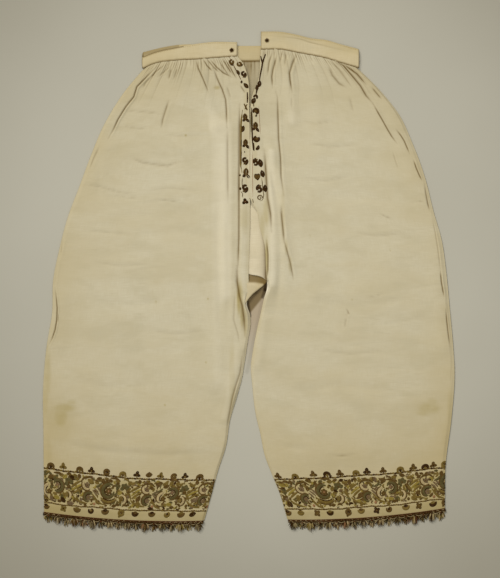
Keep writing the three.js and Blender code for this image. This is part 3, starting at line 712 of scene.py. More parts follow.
def linen_material(name, base, deep, aged):
    """Fine plain-woven linen: faint slubs and laundering waves, aged edges and stains, soil and painted shade
    in creases and hollows, painted highlights on ridges and rims.
    """
    n = Nodes(name)
    weft = n.noise(n.cloth, 1.0, 2.0, 0.6, (45, 900, 1))
    warp = n.noise(n.cloth, 1.0, 2.0, 0.6, (900, 45, 1))
    waves = n.noise(n.room, 1.0, 3.0, 0.5, (6, 24, 6), 0.5)
    creased = n.ramp(n.noise(n.room, 5.5, 2.0, 0.5), 0.42, 0.62)
    wrinkles = n.times(n.noise(n.room, 1.0, 2.0, 0.45, (14, 58, 14), 0.7), creased)
    mottle = n.noise(n.room, 1.0, 3.0, 0.55, (12, 26, 12), 0.4)
    patches = n.noise(n.room, 7.0, 4.0, 0.6)
    speckle = n.noise(n.room, 26.0, 5.0, 0.7)
    weave = n.plus(n.times(weft, 0.6), n.times(warp, 0.4))
    colour = n.mix(n.ramp(weave, 0.34, 0.66), deep, base)
    # Patterns over the weave: where each starts and is full, its strength and its colour.
    for pattern, low, high, strength, tone in (
        (waves, 0.4, 0.66, 0.3, aged),
        (mottle, 0.46, 0.68, 0.36, rgb(186, 176, 144)),
        (patches, 0.36, 0.66, 0.42, aged),
        (speckle, 0.45, 0.75, 0.2, deep),
        (wrinkles, 0.45, 0.7, 0.3, deep),
    ):
        colour = n.mix(n.times(n.ramp(pattern, low, high), strength), colour, tone)
    blots = n.ramp(n.noise(n.room, 60.0, 3.0, 0.6), 0.3, 0.7, 0.72, 1.0)
    # What the mesh's own values lay over it: yellowing, towards the waist also painted shade; stains, among
    # them painted shade near the crotch and fly; painted highlights on ridges and rims; soil and painted
    # shade in creases, valleys and hollows.
    for share, tone in (
        (n.times(n.attribute("yellow"), n.ramp(patches, 0.1, 0.6, 0.6, 1.0)), rgb(185, 165, 114)),
        (n.times(n.attribute("stain_and_shade"), blots), rgb(166, 148, 84)),
        (n.attribute("pale"), rgb(240, 230, 204)),
        (n.times(n.attribute("soil_and_shade"), 0.95), rgb(106, 82, 36)),
    ):
        colour = n.mix(share, colour, tone)
    n.surface(colour, roughness=0.94, specular=0.12)
    n.shader.inputs["Sheen Weight"].default_value = 0.12
    n.shader.inputs["Sheen Roughness"].default_value = 0.5
    height = n.times(weave, 0.25)
    crumple = n.noise(n.room, 34.0, 4.0, 0.55)
    for pattern, rise in ((crumple, 0.8), (waves, 1.5), (wrinkles, 1.6)):
        height = n.plus(height, n.times(pattern, rise))
    n.bump(height, strength=0.5, distance=0.001)
    return n.material


def silk_material(name, colour):
    """Twisted or satin-stitched silk: fine stitches along the piece, each a little lighter or darker."""
    n = Nodes(name)
    stitches = n.noise(n.cloth, 1.0, 1.0, 0.5, (2.2, 0.7, 1))
    faded = n.noise(n.room, 160.0, 2.0, 0.5)
    deep = tuple(c * 0.62 for c in colour[:3]) + (1.0,)
    pale = tuple(min(1.0, c * 1.22 + 0.012) for c in colour[:3]) + (1.0,)
    tone = n.mix(n.ramp(stitches, 0.3, 0.7), deep, colour)
    tone = n.mix(n.times(n.ramp(faded, 0.4, 0.75), 0.5), tone, pale)
    n.surface(tone, roughness=0.75, specular=0.06)
    n.bump(stitches, strength=0.4, distance=0.0003)
    return n.material


linen = linen_material("linen", rgb(211, 202, 174), rgb(201, 191, 161), rgb(199, 186, 150))
band_linen = linen_material("band_linen", rgb(214, 200, 164), rgb(204, 188, 150), rgb(198, 180, 134))
gusset_linen = linen_material("gusset_linen", rgb(226, 214, 184), rgb(214, 201, 170), rgb(210, 196, 160))

OLIVE, GREY_GREEN, MAUVE, BROWN, UMBER, YELLOW_GREEN, ROSE, PALE, RUST = range(9)
SILK_TONES = {
    "olive": (122, 100, 46), "grey_green": (97, 86, 48), "mauve": (120, 98, 68), "brown": (98, 74, 33),
    "umber": (62, 39, 9), "yellow_green": (152, 132, 60), "rose": (160, 116, 78), "pale": (188, 167, 120),
    "rust": (98, 54, 24),
}
SILKS = [silk_material("silk_" + name, rgb(*tone)) for name, tone in SILK_TONES.items()]


# ------------------------------------------------------------------ legs

FOLD_STEPS, BACK_STEPS = 6, 58
FRONT_SPANS = [(0.0, 0.86, 178), (0.86, 0.965, 44), (0.965, 1.0, 24)]    # from, to, steps


def leg_columns():
    """Columns of the cloth, closest near the fly and along the outer fold, where the fine creases are."""
    spans = [np.linspace(low, high, steps, endpoint=False) for low, high, steps in FRONT_SPANS]
    front = np.concatenate(spans + [[1.0]])
    fold = np.linspace(1, 2, FOLD_STEPS + 1)[1:-1]
    back = np.linspace(2, 3, BACK_STEPS + 1)
    return np.concatenate([front, fold, back])


def leg_rows():
    near_waist = np.arange(-TUCK, 64, 1.7)
    rest = np.linspace(64, LEG_LENGTH, 250)
    return np.concatenate([near_waist[near_waist < 63.5], rest])


# Stains of the front, and painted shade along creases and edges near the crotch and the fly: pixel of the
# middle, half sizes in pixels, strength.
STAINS_AND_SHADE = [
    ((64.5, 408), (11, 4.6), 0.55), ((61, 417), (7.5, 11), 0.5), ((72, 402.5), (5, 3), 0.3),
    ((60, 420), (15, 20), 0.2),
    ((429, 408), (11, 6), 0.42), ((424, 413), (8, 3), 0.3), ((432, 402), (5, 4), 0.3),
    ((47.5, 372), (3.6, 26), 0.34),
    ((46, 350), (2.5, 12), 0.3), ((45.5, 400), (3, 20), 0.3), ((450, 410), (3, 20), 0.22),
    ((448, 440), (6, 18), 0.1),
    ((239.2, 298), (2.4, 17), 0.9), ((242.2, 314), (2.4, 14), 0.7), ((266.8, 258), (2.0, 19), 0.7),
    ((156, 302), (0.9, 0.9), 0.9), ((208, 299), (0.8, 0.8), 0.8), ((165, 405), (0.8, 0.8), 0.8),
    ((206, 362), (0.8, 0.8), 0.7), ((217, 88), (3.2, 1.8), 0.6), ((48, 450), (4, 20), 0.15),
    ((240.5, 294), (2.6, 15), 0.55), ((245.5, 322), (2.4, 14), 0.45), ((266.5, 212), (3.6, 13), 0.5),
    ((244, 218), (3.6, 16), 0.35), ((286, 247), (1.8, 8), 0.4), ((290, 265), (1.8, 9), 0.35),
    ((185.8, 135.6), (0.9, 0.8), 0.9), ((262.5, 226), (2.4, 13), 0.4), ((246, 130), (2.4, 50), 0.25),
    ((255, 130), (2.4, 50), 0.2), ((283, 215), (2.0, 30), 0.3), ((232, 380), (3, 40), 0.25),
    ((352, 300), (0.7, 0.7), 0.5), ((310, 236), (0.7, 0.7), 0.5), ((390, 250), (0.8, 0.8), 0.5),
]


def leg_object(leg):
    grid_q, grid_d = leg.survey(leg_columns(), leg_rows())
    points, details = leg.grid, leg.details
    shape = grid_q.shape
    flat = points.reshape(-1, 3)
    faces = grid_faces(*shape, flip=leg.side < 0)
    closed = np.flatnonzero(points[:-1, 0, 1] < leg.crotch)
    seam = np.stack([closed * shape[1], (closed + 1) * shape[1],
                     (closed + 1) * shape[1] + shape[1] - 1, closed * shape[1] + shape[1] - 1], axis=1)
    faces = np.concatenate([faces, seam if leg.side < 0 else seam[:, ::-1]])
    width = np.where(grid_q <= 1, grid_q, np.where(grid_q >= 2, 4 - grid_q, 1)) * HEM_PANEL * MM
    uvs = np.stack([width, grid_d * MM], axis=-1).reshape(-1, 2)

    x, y = flat[:, 0], flat[:, 1]
    front = (grid_q <= 1).ravel()
    stain_and_shade = np.zeros(len(flat))
    # real stains and spots, and painted shade near the crotch, the fly and creases
    for middle, (half_x, half_y), strength in STAINS_AND_SHADE:
        cx, cy = photo([middle])[0]
        spot = ((x - cx) / (half_x * PIXEL)) ** 2 + ((y - cy) / (half_y * PIXEL)) ** 2
        stain_and_shade = np.maximum(stain_and_shade, strength * np.exp(-(spot**2)))
    over_edge = (LEG_LENGTH - grid_d).ravel()
    in_band = soft_step((over_edge - LOWER_LINE) / 6) * soft_step((UPPER_LINE - over_edge) / 6)
    stain_and_shade = np.maximum(stain_and_shade, 0.55 * in_band)
    stain_and_shade = np.maximum(stain_and_shade, 0.45 * soft_step((LOWER_LINE + 2 - over_edge) / 5))
    rng = np.random.default_rng(leg.seed + 40)
    for _ in range(5):
        cx, cy = rng.uniform(90, 330) * leg.side, rng.uniform(-380, 300)
        spot = ((x - cx) ** 2 + (y - cy) ** 2) / rng.uniform(3, 160)
        stain_and_shade = np.where(front, stain_and_shade, np.maximum(stain_and_shade, 0.35 * np.exp(-spot)))
    from_side = (np.abs(grid_q - 1.5) - 0.5).clip(0).ravel()
    side_edge = np.exp(-((from_side / 0.035) ** 1.2))
    broad_side = np.exp(-((from_side / 0.16) ** 1.5))
    hem_edge = bell(LEG_LENGTH - grid_d, 185).ravel()
    # towards the waist the yellowing is also painted shade
    waist_yellowing_and_shade = bell(grid_d, 110).ravel()
    inner_edge = np.exp(-np.minimum(grid_q, 3 - grid_q) / 0.012).ravel()
    yellow = 0.12 * side_edge + 0.2 * broad_side + 0.56 * hem_edge + 0.16 * waist_yellowing_and_shade + 0.32 * inner_edge
    yellow = np.clip(yellow, 0, 0.85)
    piece = make_mesh(leg.name + "_leg_cloth", flat, faces, [linen], uvs, None,
                      {"soil_and_shade": details["soil_and_shade"].ravel(), "pale": details["pale"].ravel(),
                       "stain_and_shade": stain_and_shade, "yellow": yellow})
    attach(piece, "root")
    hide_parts(leg.name + "_leg")
    return piece


# ------------------------------------------------------------------ waistband


def band_path():
    """Stations once round the band: x, mid height, outward direction in x and z, low and high edge."""
    rows = []
    mid = (BAND_FRONT_Z + BAND_BACK_Z) / 2
    radius = (BAND_FRONT_Z - BAND_BACK_Z) / 2

    def straight(sections, z, out_z):
        x0, x1 = sections[0][0], sections[-1][0]
        count = int(abs(x1 - x0) / 1.1) + 1
        for x in np.linspace(x0, x1, count):
            low, high = band_edge(sections, x, 1), band_edge(sections, x, 2)
            rows.append((x, z, 0.0, out_z, float(low), float(high)))

    def fold(first, last, side, direction):
        for k in range(1, 7):
            share = k / 7
            angle = math.pi * (share if direction > 0 else 1 - share)
            ease = 0.5 - 0.5 * math.cos(math.pi * share)
            low = first[1] + (last[1] - first[1]) * ease
            high = first[2] + (last[2] - first[2]) * ease
            out_x, out_z = side * math.sin(angle), math.cos(angle)
            rows.append((first[0] + radius * out_x, mid + radius * out_z, out_x, out_z, low, high))

    straight(LEFT_BAND_FRONT, BAND_FRONT_Z, 1.0)
    fold(LEFT_BAND_FRONT[-1], BAND_BACK[0], -1, 1)
    straight(BAND_BACK, BAND_BACK_Z, -1.0)
    fold(BAND_BACK[-1], RIGHT_BAND_FRONT[0], 1, -1)
    straight(RIGHT_BAND_FRONT, BAND_FRONT_Z, 1.0)
    return np.array(rows)


OUTER_ROWS, EDGE_ROWS, INNER_ROWS = 22, 3, 12


def band_object():
    rows = band_path()
    x, z, out_x, out_z, low, high = rows.T
    run = np.concatenate([[0], np.cumsum(np.hypot(np.diff(x), np.diff(z)))])
    half = BAND_WALL / 2
    edge = np.linspace(0, np.pi, EDGE_ROWS + 2)[1:-1]
    up, down = np.linspace(0, 1, OUTER_ROWS), np.linspace(1, 0, INNER_ROWS)
    height = np.concatenate([up, 1 + 0 * edge, down, 0 * edge])
    across = np.concatenate([1 + 0 * up, np.cos(edge), -1 + 0 * down, -np.cos(edge)])
    lift = half * np.concatenate([0 * up, np.sin(edge), 0 * down, -np.sin(edge)])

    tall = (high - low)[:, None]
    y = low[:, None] + half + (tall - 2 * half) * height[None, :] + lift[None, :]
    from_low, from_high = y - low[:, None], high[:, None] - y
    gather = np.sin(run[:, None] / 2.6 + 1.4 * np.sin(run[:, None] / 17)) * bell(from_low, 7)
    pillow = 0.35 * np.sin(np.pi * np.clip(height, 0, 1))[None, :]
    stitch_low = -0.38 * bell(from_low - 2.6, 0.9) * (0.7 + 0.3 * np.sin(run[:, None] * 2.6))
    stitch_high = -0.22 * bell(from_high - 2.2, 0.8)
    waves = 0.28 * np.sin(run[:, None] / 23 + y / 9) + 0.2 * np.sin(run[:, None] / 9 - y / 13 + 2)
    swell = pillow + 0.26 * gather + stitch_low + stitch_high + waves * np.sin(np.pi * height)[None, :] * 0.8
    turned = (out_z > 0.99) & (x > 20)
    fold_line = 9.5 + 1.3 * np.sin(run / 14)[:, None] + 1.6 * np.sin(run / 41)[:, None]
    swell += np.where(turned[:, None], -0.3 * bell(from_high - fold_line, 1.2), 0)
    reach = half * across[None, :] + np.where(across > 0.5, swell, 0)
    floor_gap = np.where(out_z[:, None] < -0.5, np.minimum(reach, half - 0.05), reach)
    px = x[:, None] + out_x[:, None] * floor_gap
    pz = z[:, None] + out_z[:, None] * floor_gap
    points = np.stack([px, y, np.maximum(pz, 0.05)], axis=-1)

    stations, sides = points.shape[:2]
    quads = np.roll(ring_quads(stations, sides)[:, ::-1], 1, axis=1)
    flat = points.reshape(-1, 3)
    middle = flat[quads].mean(axis=1)
    above_middle = BAND_FRONT_Z - 2.2
    hole = EYELET_BORE / 2
    stretch = (EYELET_PULL - hole) / (EYELET_PULL - EYELET_CUT)
    keep = np.ones(len(quads), bool)
    for cx, cy in EYELETS:
        off = np.hypot(flat[:, 0] - cx, flat[:, 1] - cy)
        near = (off < EYELET_PULL) & (flat[:, 2] > above_middle)
        push = hole + np.maximum(off - EYELET_CUT, 0) * stretch
        factor = np.where(near, push / np.maximum(off, 0.05), 1)
        inside = np.hypot(middle[:, 0] - cx, middle[:, 1] - cy) < 1.0
        keep &= ~(inside & (middle[:, 2] > above_middle))
        flat[:, 0] = np.where(near, cx + (flat[:, 0] - cx) * factor, flat[:, 0])
        flat[:, 1] = np.where(near, cy + (flat[:, 1] - cy) * factor, flat[:, 1])
    quads = quads[keep]
    caps = []
    for start in (0, (stations - 1) * sides):
        for k in range(1, sides // 2):
            cap = [start + k - 1, start + k, start + sides - 1 - k, start + sides - k]
            caps.append(cap if start == 0 else cap[::-1])
    faces = np.concatenate([quads, np.array(caps)])
    uvs = np.stack([np.repeat(run, sides) * MM, y.ravel() * MM], axis=1)
    yellow = 0.5 * bell(from_high, 3.6) * (0.7 + 0.3 * np.sin(run / 21)[:, None])
    yellow = yellow + np.where(turned[:, None], 0.26 / (1 + np.exp((from_high - fold_line) / 1.6)), 0)
    yellow = yellow + np.where(out_z[:, None] < 0.5, 0.38, 0)
    # soil with painted shade: darker along the lower seam, the fold line of the turned band, the ends and the
    # turns
    soil_and_shade = 1.1 * bell(from_low, 1.7) + 0.22 * bell(from_low - 2.6, 0.9)
    left_wedge = ((out_z < -0.5) & (x < -128))[:, None]
    soil_and_shade = soil_and_shade + np.where(left_wedge, 0.4 * np.exp(-((from_high / 9) ** 4)), 0)
    faint = 0.22 + 0.2 * np.sin(run / 26 + 1.0)[:, None]
    soil_and_shade = soil_and_shade + np.where(turned[:, None], faint * bell(from_high - fold_line, 1.0), 0)
    left_end = ((out_z > 0.5) & (x < -120))[:, None]
    soil_and_shade = soil_and_shade + np.where(left_end, 1.0 * bell(from_high, 1.5), 0)
    ends = bell(np.minimum(run, run[-1] - run), 1.3)[:, None]
    folds = bell((np.abs(out_x) - 1).clip(-9, 0), 0.5)[:, None] * (np.abs(out_x) > 0.05)[:, None]
    soil_and_shade = soil_and_shade + 0.5 * ends + 0.55 * folds
    piece = make_mesh("waistband_cloth", flat, faces, [band_linen], uvs, None,
                      {"soil_and_shade": np.clip(soil_and_shade, 0, 1).ravel(), "yellow": np.clip(yellow, 0, 1).ravel(),
                       "stain_and_shade": np.zeros(len(flat))})
    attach(piece, "root")
    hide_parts("waistband")
    return piece


def band_front_point(x, y):
    """A point on top of the band's front at x, y."""
    sections = LEFT_BAND_FRONT if x < 0 else RIGHT_BAND_FRONT
    low, high = float(band_edge(sections, x, 1)), float(band_edge(sections, x, 2))
    share = np.clip((y - low) / (high - low), 0, 1)
    return BAND_FRONT_Z + BAND_WALL / 2 + 0.3 * math.sin(math.pi * share)


def band_stitches_and_bore_shade():
    """Worked eyelets with a dark disc of painted shade in each bore, and the running stitches along the seams
    of the band.
    """
    threads = Threads()
    for cx, cy in EYELETS:
        top = band_front_point(cx, cy) + 0.25
        ring = [(cx + 2.7 * math.cos(a), cy + 2.7 * math.sin(a), top) for a in np.linspace(0, 2 * np.pi, 33)]
        round_tube(threads, ring, 0.75, 1, 6)
        # painted shade: a dark umber disc fills each bore, where its shadow falls
        shade = [(cx, cy, top - 1.6), (cx, cy, top - 1.5), (cx, cy, top - 0.15), (cx, cy, top - 0.1)]
        round_tube(threads, shade, [0.5, 2.5, 2.5, 0.5], 1, 16)
        for k in range(30):
            a = 2 * math.pi * k / 30
            jitter = 0.5 * math.sin(k * 7.3)
            path = []
            for reach, z in ((3.2, 0.3), (3.5, 0.4), (3.9, 0.3), (4.5 + jitter, -0.16)):
                path.append((cx + reach * math.cos(a), cy + reach * math.sin(a), top + z))
            round_tube(threads, path, 0.26, 0, 5)
    for sections, x0, x1 in ((LEFT_BAND_FRONT, -190, -23), (RIGHT_BAND_FRONT, 25, 198)):
        x = x0
        k = 0
        while x < x1:
            for column, inset in ((1, 2.6), (2, -2.2)):
                y = float(band_edge(sections, x, column)) + inset
                slant = 0.25 * math.sin(k * 3.7)
                z = band_front_point(x, y)
                path = [(x, y - slant, z - 0.25), (x + 0.7, y, z + 0.12), (x + 1.5, y + slant, z - 0.25)]
                round_tube(threads, path, 0.22, 0, 5)
            x += 3.3 + 0.5 * math.sin(k * 2.3)
            k += 1
    piece = threads.object("waistband_stitches_and_bore_shade", [SILKS[PALE], SILKS[UMBER]])
    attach(piece, "root")
    return piece


# ------------------------------------------------------------------ gussets


def gusset_mesh(name, x, y, z, soil_and_shade, yellow):
    points = np.stack(np.broadcast_arrays(x, y, z), axis=-1)
    rows, columns = points.shape[:2]
    marks = {"soil_and_shade": soil_and_shade.ravel(), "yellow": yellow.ravel(), "stain_and_shade": np.zeros(rows * columns)}
    uvs = (points[..., :2] * MM).reshape(-1, 2)
    faces = grid_faces(rows, columns, False)
    return make_mesh(name, points.reshape(-1, 3), faces, [gusset_linen], uvs, None, marks)


def gusset_front():
    """The strip between the fly edges: it rises towards its lower edge, which is rolled under."""
    rows, columns = 90, 26
    u = np.linspace(-0.05, 1.05, columns)[None, :]
    v = np.linspace(0, 1, rows)[:, None]
    turn_from = 0.93
    low_edge = smooth([-0.05, 0.25, 0.55, 0.9, 1.05], [17.5, 15, 13.5, 8.5, 3.0], u)
    top = 150.0
    flat_v = np.minimum(v / turn_from, 1)
    y = top + (low_edge - top) * flat_v
    left = edge_x(LEFT_FRONT, y) - 0.4
    right = edge_x(RIGHT_FRONT, y) + 0.4
    spread = soft_step((top - y) / 24)
    middle = edge_x(RIGHT_FRONT, np.full_like(y, 150.0)) - 1.0
    left = middle + (left - middle) * spread
    right = middle + (right - middle) * np.maximum(spread, 0.02) - 2.2 * soft_step((flat_v - 0.8) / 0.2)
    x = left + (right - left) * u
    arch = 4 * np.clip(u, 0, 1) * (1 - np.clip(u, 0, 1))
    z = 2.3 + 2.0 * soft_step((flat_v - 0.35) / 0.6) * (0.45 + 0.55 * arch) + 0.5 * arch
    z = z + 0.25 * np.sin(y / 9 + x / 6) * arch
    curl = np.clip((v - turn_from) / (1 - turn_from), 0, 1) * np.pi * 1.15
    radius = 1.5
    y = y - radius * np.sin(curl)
    z = z - radius * (1 - np.cos(curl))
    # painted shade along both sides, where the legs lie over the strip, and under the rolled lower edge
    shade_beside_left = np.exp(-(u.clip(0) / 0.06))
    shade_beside_right = np.exp(-((1 - u).clip(0) / 0.13)) * soft_step((110 - y) / 60)
    soil_and_shade = np.clip(0.3 * shade_beside_left + shade_beside_right, 0, 1) + 0.8 * soft_step((v - 0.955) / 0.03)
    piece = gusset_mesh("gusset_front_cloth", x, y, z, soil_and_shade, 0 * soil_and_shade)
    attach(piece, "root")
    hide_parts("gusset_front")
    return piece


def gusset_back():
    """The pale piece behind the crotch, down to the slanting edge of the opening."""
    rows, columns = 60, 34
    u = np.linspace(0, 1, columns)[None, :]
    v = np.linspace(0, 1, rows)[:, None]
    low = smooth([0, 0.2, 0.5, 0.75, 1.0], [-42, -27, -14, -5, 4], u)
    top = 78.0
    y = top + (low - top) * v
    left = edge_x(LEFT_FRONT, y) - 3.5
    right = edge_x(RIGHT_FRONT, y) + 3.5
    x = left + (right - left) * u
    pocket = np.interp(x, [-1, 13, 27, 32], [17, 14, 8.5, 3]) - y
    z = 1.2 + 0.15 * np.sin(x / 5 + y / 7) + 4.6 * soft_step((pocket - 9) / 12)
    z = np.maximum(z - 1.1 * soft_step((v - 0.97) / 0.03), 0.1)
    # painted shade: the pocket under the front strip's rolled edge is darkened and yellowed, deepest to the
    # right; the lower edge is darkened too
    shaded = soft_step((pocket + 3) / 3) * soft_step((19 - 0.2 * x - pocket) / 5)
    deepest = soft_step((x - 14) / 16)
    soil_and_shade = np.clip(shaded * (0.74 + 0.12 * deepest) + 0.5 * soft_step((v - 0.975) / 0.02) + 0.05, 0, 1)
    yellow = 0.3 + 0.2 * soft_step((x - 8) / 14) + 0.4 * shaded
    piece = gusset_mesh("gusset_back_cloth", x, y, z, soil_and_shade, yellow)
    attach(piece, "root")
    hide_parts("gusset_back")
    return piece


# ------------------------------------------------------------------ embroidery motifs, in flat millimetres


class Stitcher:
    """Draws flat motifs on a surface: origin, turn and size are set for each motif."""

    def __init__(self, mapper, seed):
        self.mapper, self.threads = mapper, Threads()
        self.rng = np.random.default_rng(seed)
        self.at, self.turn, self.size = (0.0, 0.0), 0.0, 1.0
        self.covered = []
        self.bold = 1.0

    def motif(self, x, y, turn=0.0, size=1.0):
        shift = self.rng.uniform(-0.5, 0.5, 2)
        self.at = (x + shift[0], y + shift[1])
        self.turn = math.radians(turn + self.rng.uniform(-5, 5))
        self.size = size * self.rng.uniform(0.95, 1.05)
        return self

    def line(self, points, width, silk, height=None):
        points = np.asarray(points, float) * self.size
        c, s = math.cos(self.turn), math.sin(self.turn)
        turned = np.stack([points[:, 0] * c - points[:, 1] * s, points[:, 0] * s + points[:, 1] * c], axis=1)
        width = np.asarray(width, float) * self.size * self.bold
        placed = turned + self.at
        ribbon(self.threads, self.mapper, placed, width, silk, height)
        steps = np.linspace(0, len(placed) - 1, 4 * len(placed))
        ends = np.arange(len(placed))
        reach = np.full(len(steps), float(np.max(width)) / 2)
        x, y = (np.interp(steps, ends, placed[:, i]) for i in range(2))
        self.covered.append(np.stack([x, y, reach], axis=1))

    def fill(self, u0, u1, h0, h1, tries, silks):
        """Small leaves and seeds worked into the gaps that the main motifs leave."""
        taken = np.concatenate(self.covered)
        taken = taken[(taken[:, 0] > u0 - 12) & (taken[:, 0] < u1 + 12)]
        for size in (1.6, 1.3, 1.05, 0.85, 0.68):
            for _ in range(tries):
                u, h = self.rng.uniform(u0, u1), self.rng.uniform(h0, h1)
                angle = self.rng.uniform(0, 360)
                length, width = 8.6 * size, 4.8 * size
                a = math.radians(angle)
                spine = np.array([(u + length * t * math.cos(a), h + length * t * math.sin(a))
                                  for t in (-0.5, -0.2, 0.2, 0.5)])
                if spine[:, 1].min() < h0 or spine[:, 1].max() > h1:
                    continue
                gap = np.hypot(taken[:, None, 0] - spine[None, :, 0], taken[:, None, 1] - spine[None, :, 1])
                if (gap - taken[:, None, 2]).min() < width * 0.5 - 2.7:
                    continue
                self.at, self.turn, self.size = tuple(spine[0]), a, 1.0
                silk = silks[int(self.rng.integers(len(silks)))]
                if self.rng.uniform() < 0.65:
                    self.leaf(0, 0, 0, length, width, silk)
                else:
                    widths = [0.8, width * 0.6, width * 0.7, width * 0.5, 0.7]
                    self.arc(length / 2, -width * 0.2, length * 0.42, 20, 150, widths, silk)
                taken = np.concatenate([taken, self.covered[-1]])

    def arc(self, cx, cy, radius, start, sweep, width, silk, shrink=0.0):
        """A crescent, or with shrink a spiral; angles in degrees."""
        count = max(6, int(abs(sweep) / 14))
        angles = np.radians(start + sweep * np.linspace(0, 1, count))
        reach = radius * (1 - shrink * np.linspace(0, 1, count))
        self.line(np.stack([cx + reach * np.cos(angles), cy + reach * np.sin(angles)], axis=1), width, silk)

    def scroll(self, cx, cy, radius, start, sweep, width, silk, shrink=0.0):
        """A broad crescent with a dark outline on each side."""
        self.arc(cx, cy, radius, start, sweep, width, silk, shrink)
        for side, line in ((0.5, 3.3), (-0.5, 2.6)):
            reach = radius + side * max(width)
            self.arc(cx, cy, reach, start + 10, sweep * 0.88, [1.0, line, line, line * 0.8, 0.9],
                     BROWN if side > 0 else UMBER, shrink * 1.05)

    def leaf(self, x, y, angle, length, width, silk):
        """A leaf from its foot at x, y, worked as two slanting halves."""
        a = math.radians(angle)
        for half in (-1, 1):
            line = []
            for t in np.linspace(0, 1, 7):
                bow = half * width * 0.27 * math.sin(math.pi * t)
                line.append((x + length * t * math.cos(a) - bow * math.sin(a),
                             y + length * t * math.sin(a) + bow * math.cos(a)))
            self.line(line, [0.5, width * 0.5, width * 0.55, width * 0.4, 0.3], silk)

    def dot(self, x, y, radius, silk):
        line = [(x - radius, y), (x - radius * 0.5, y), (x + radius * 0.5, y), (x + radius, y)]
        self.line(line, [0.4 * radius, 1.7 * radius, 2 * radius, 1.7 * radius, 0.4 * radius], silk,
                  0.35 + 0.22 * radius)

    def rosette(self, x, y, radius, petals, silk, heart):
        for k in range(petals):
            self.leaf(x, y, 360 * k / petals + 18, radius, radius * 0.75, silk)
        self.dot(x, y, radius * 0.28, heart)

    def trefoil(self, silk, heart, size=7.4):
        self.leaf(0, -0.5, 90, size, size * 0.8, silk)
        self.leaf(0, -0.5, 190, size * 0.9, size * 0.72, silk)
        self.leaf(0, -0.5, -10, size * 0.9, size * 0.72, silk)
        self.dot(0, -0.5, 1.7, heart)
        self.line([(0, -1), (0.6, -size * 0.7)], 1.7, heart)

    def arch(self, silk, heart, size=7.6):
        self.arc(0, -2.8, size * 0.6, 205, -230, [2.6, 5.2, 5.6, 5.2, 2.6], silk)
        self.leaf(0, -5.4, 90, 5.4, 4.4, heart)
        self.line([(-size, -size * 0.55), (-size * 0.35, -size * 0.72)], 2.2, silk)
        self.line([(size * 0.35, -size * 0.72), (size, -size * 0.55)], 2.2, silk)

    def berry(self, silk, heart):
        self.arc(0, 0, 3.9, 0, 352, [4.2, 4.6, 4.6, 4.2], silk)
        self.dot(0.4, 0.3, 2.0, heart)
        self.leaf(-2, -2.6, -120, 5.4, 4.2, silk)

    def curl(self, silk, heart, size=6.0):
        self.arc(0, 0.6, size * 0.72, 150, 300, [2.4, 4.4, 4.8, 4.2, 2.6], silk, 0.3)
        self.leaf(size * 0.3, -size * 0.2, 130, size * 0.9, size * 0.66, heart)

    def clover(self, silk, heart):
        for angle in (35, 125, 215, 305):
            self.leaf(0, 0, angle, 6.2, 5.2, silk)
        self.dot(0, 0, 1.8, heart)

    def bowl(self, silk, heart):
        self.arc(0, 3.0, 5.2, 180, 180, [2.8, 5.0, 5.4, 5.0, 2.8], silk)
        self.leaf(-4.4, 2.6, 0, 8.8, 4.6, heart)

    def blob(self, silk, heart):
        self.leaf(-6.0, -0.4, 12, 12.0, 8.4, silk)
        self.leaf(-1.5, 1, 70, 5.4, 4.6, heart)


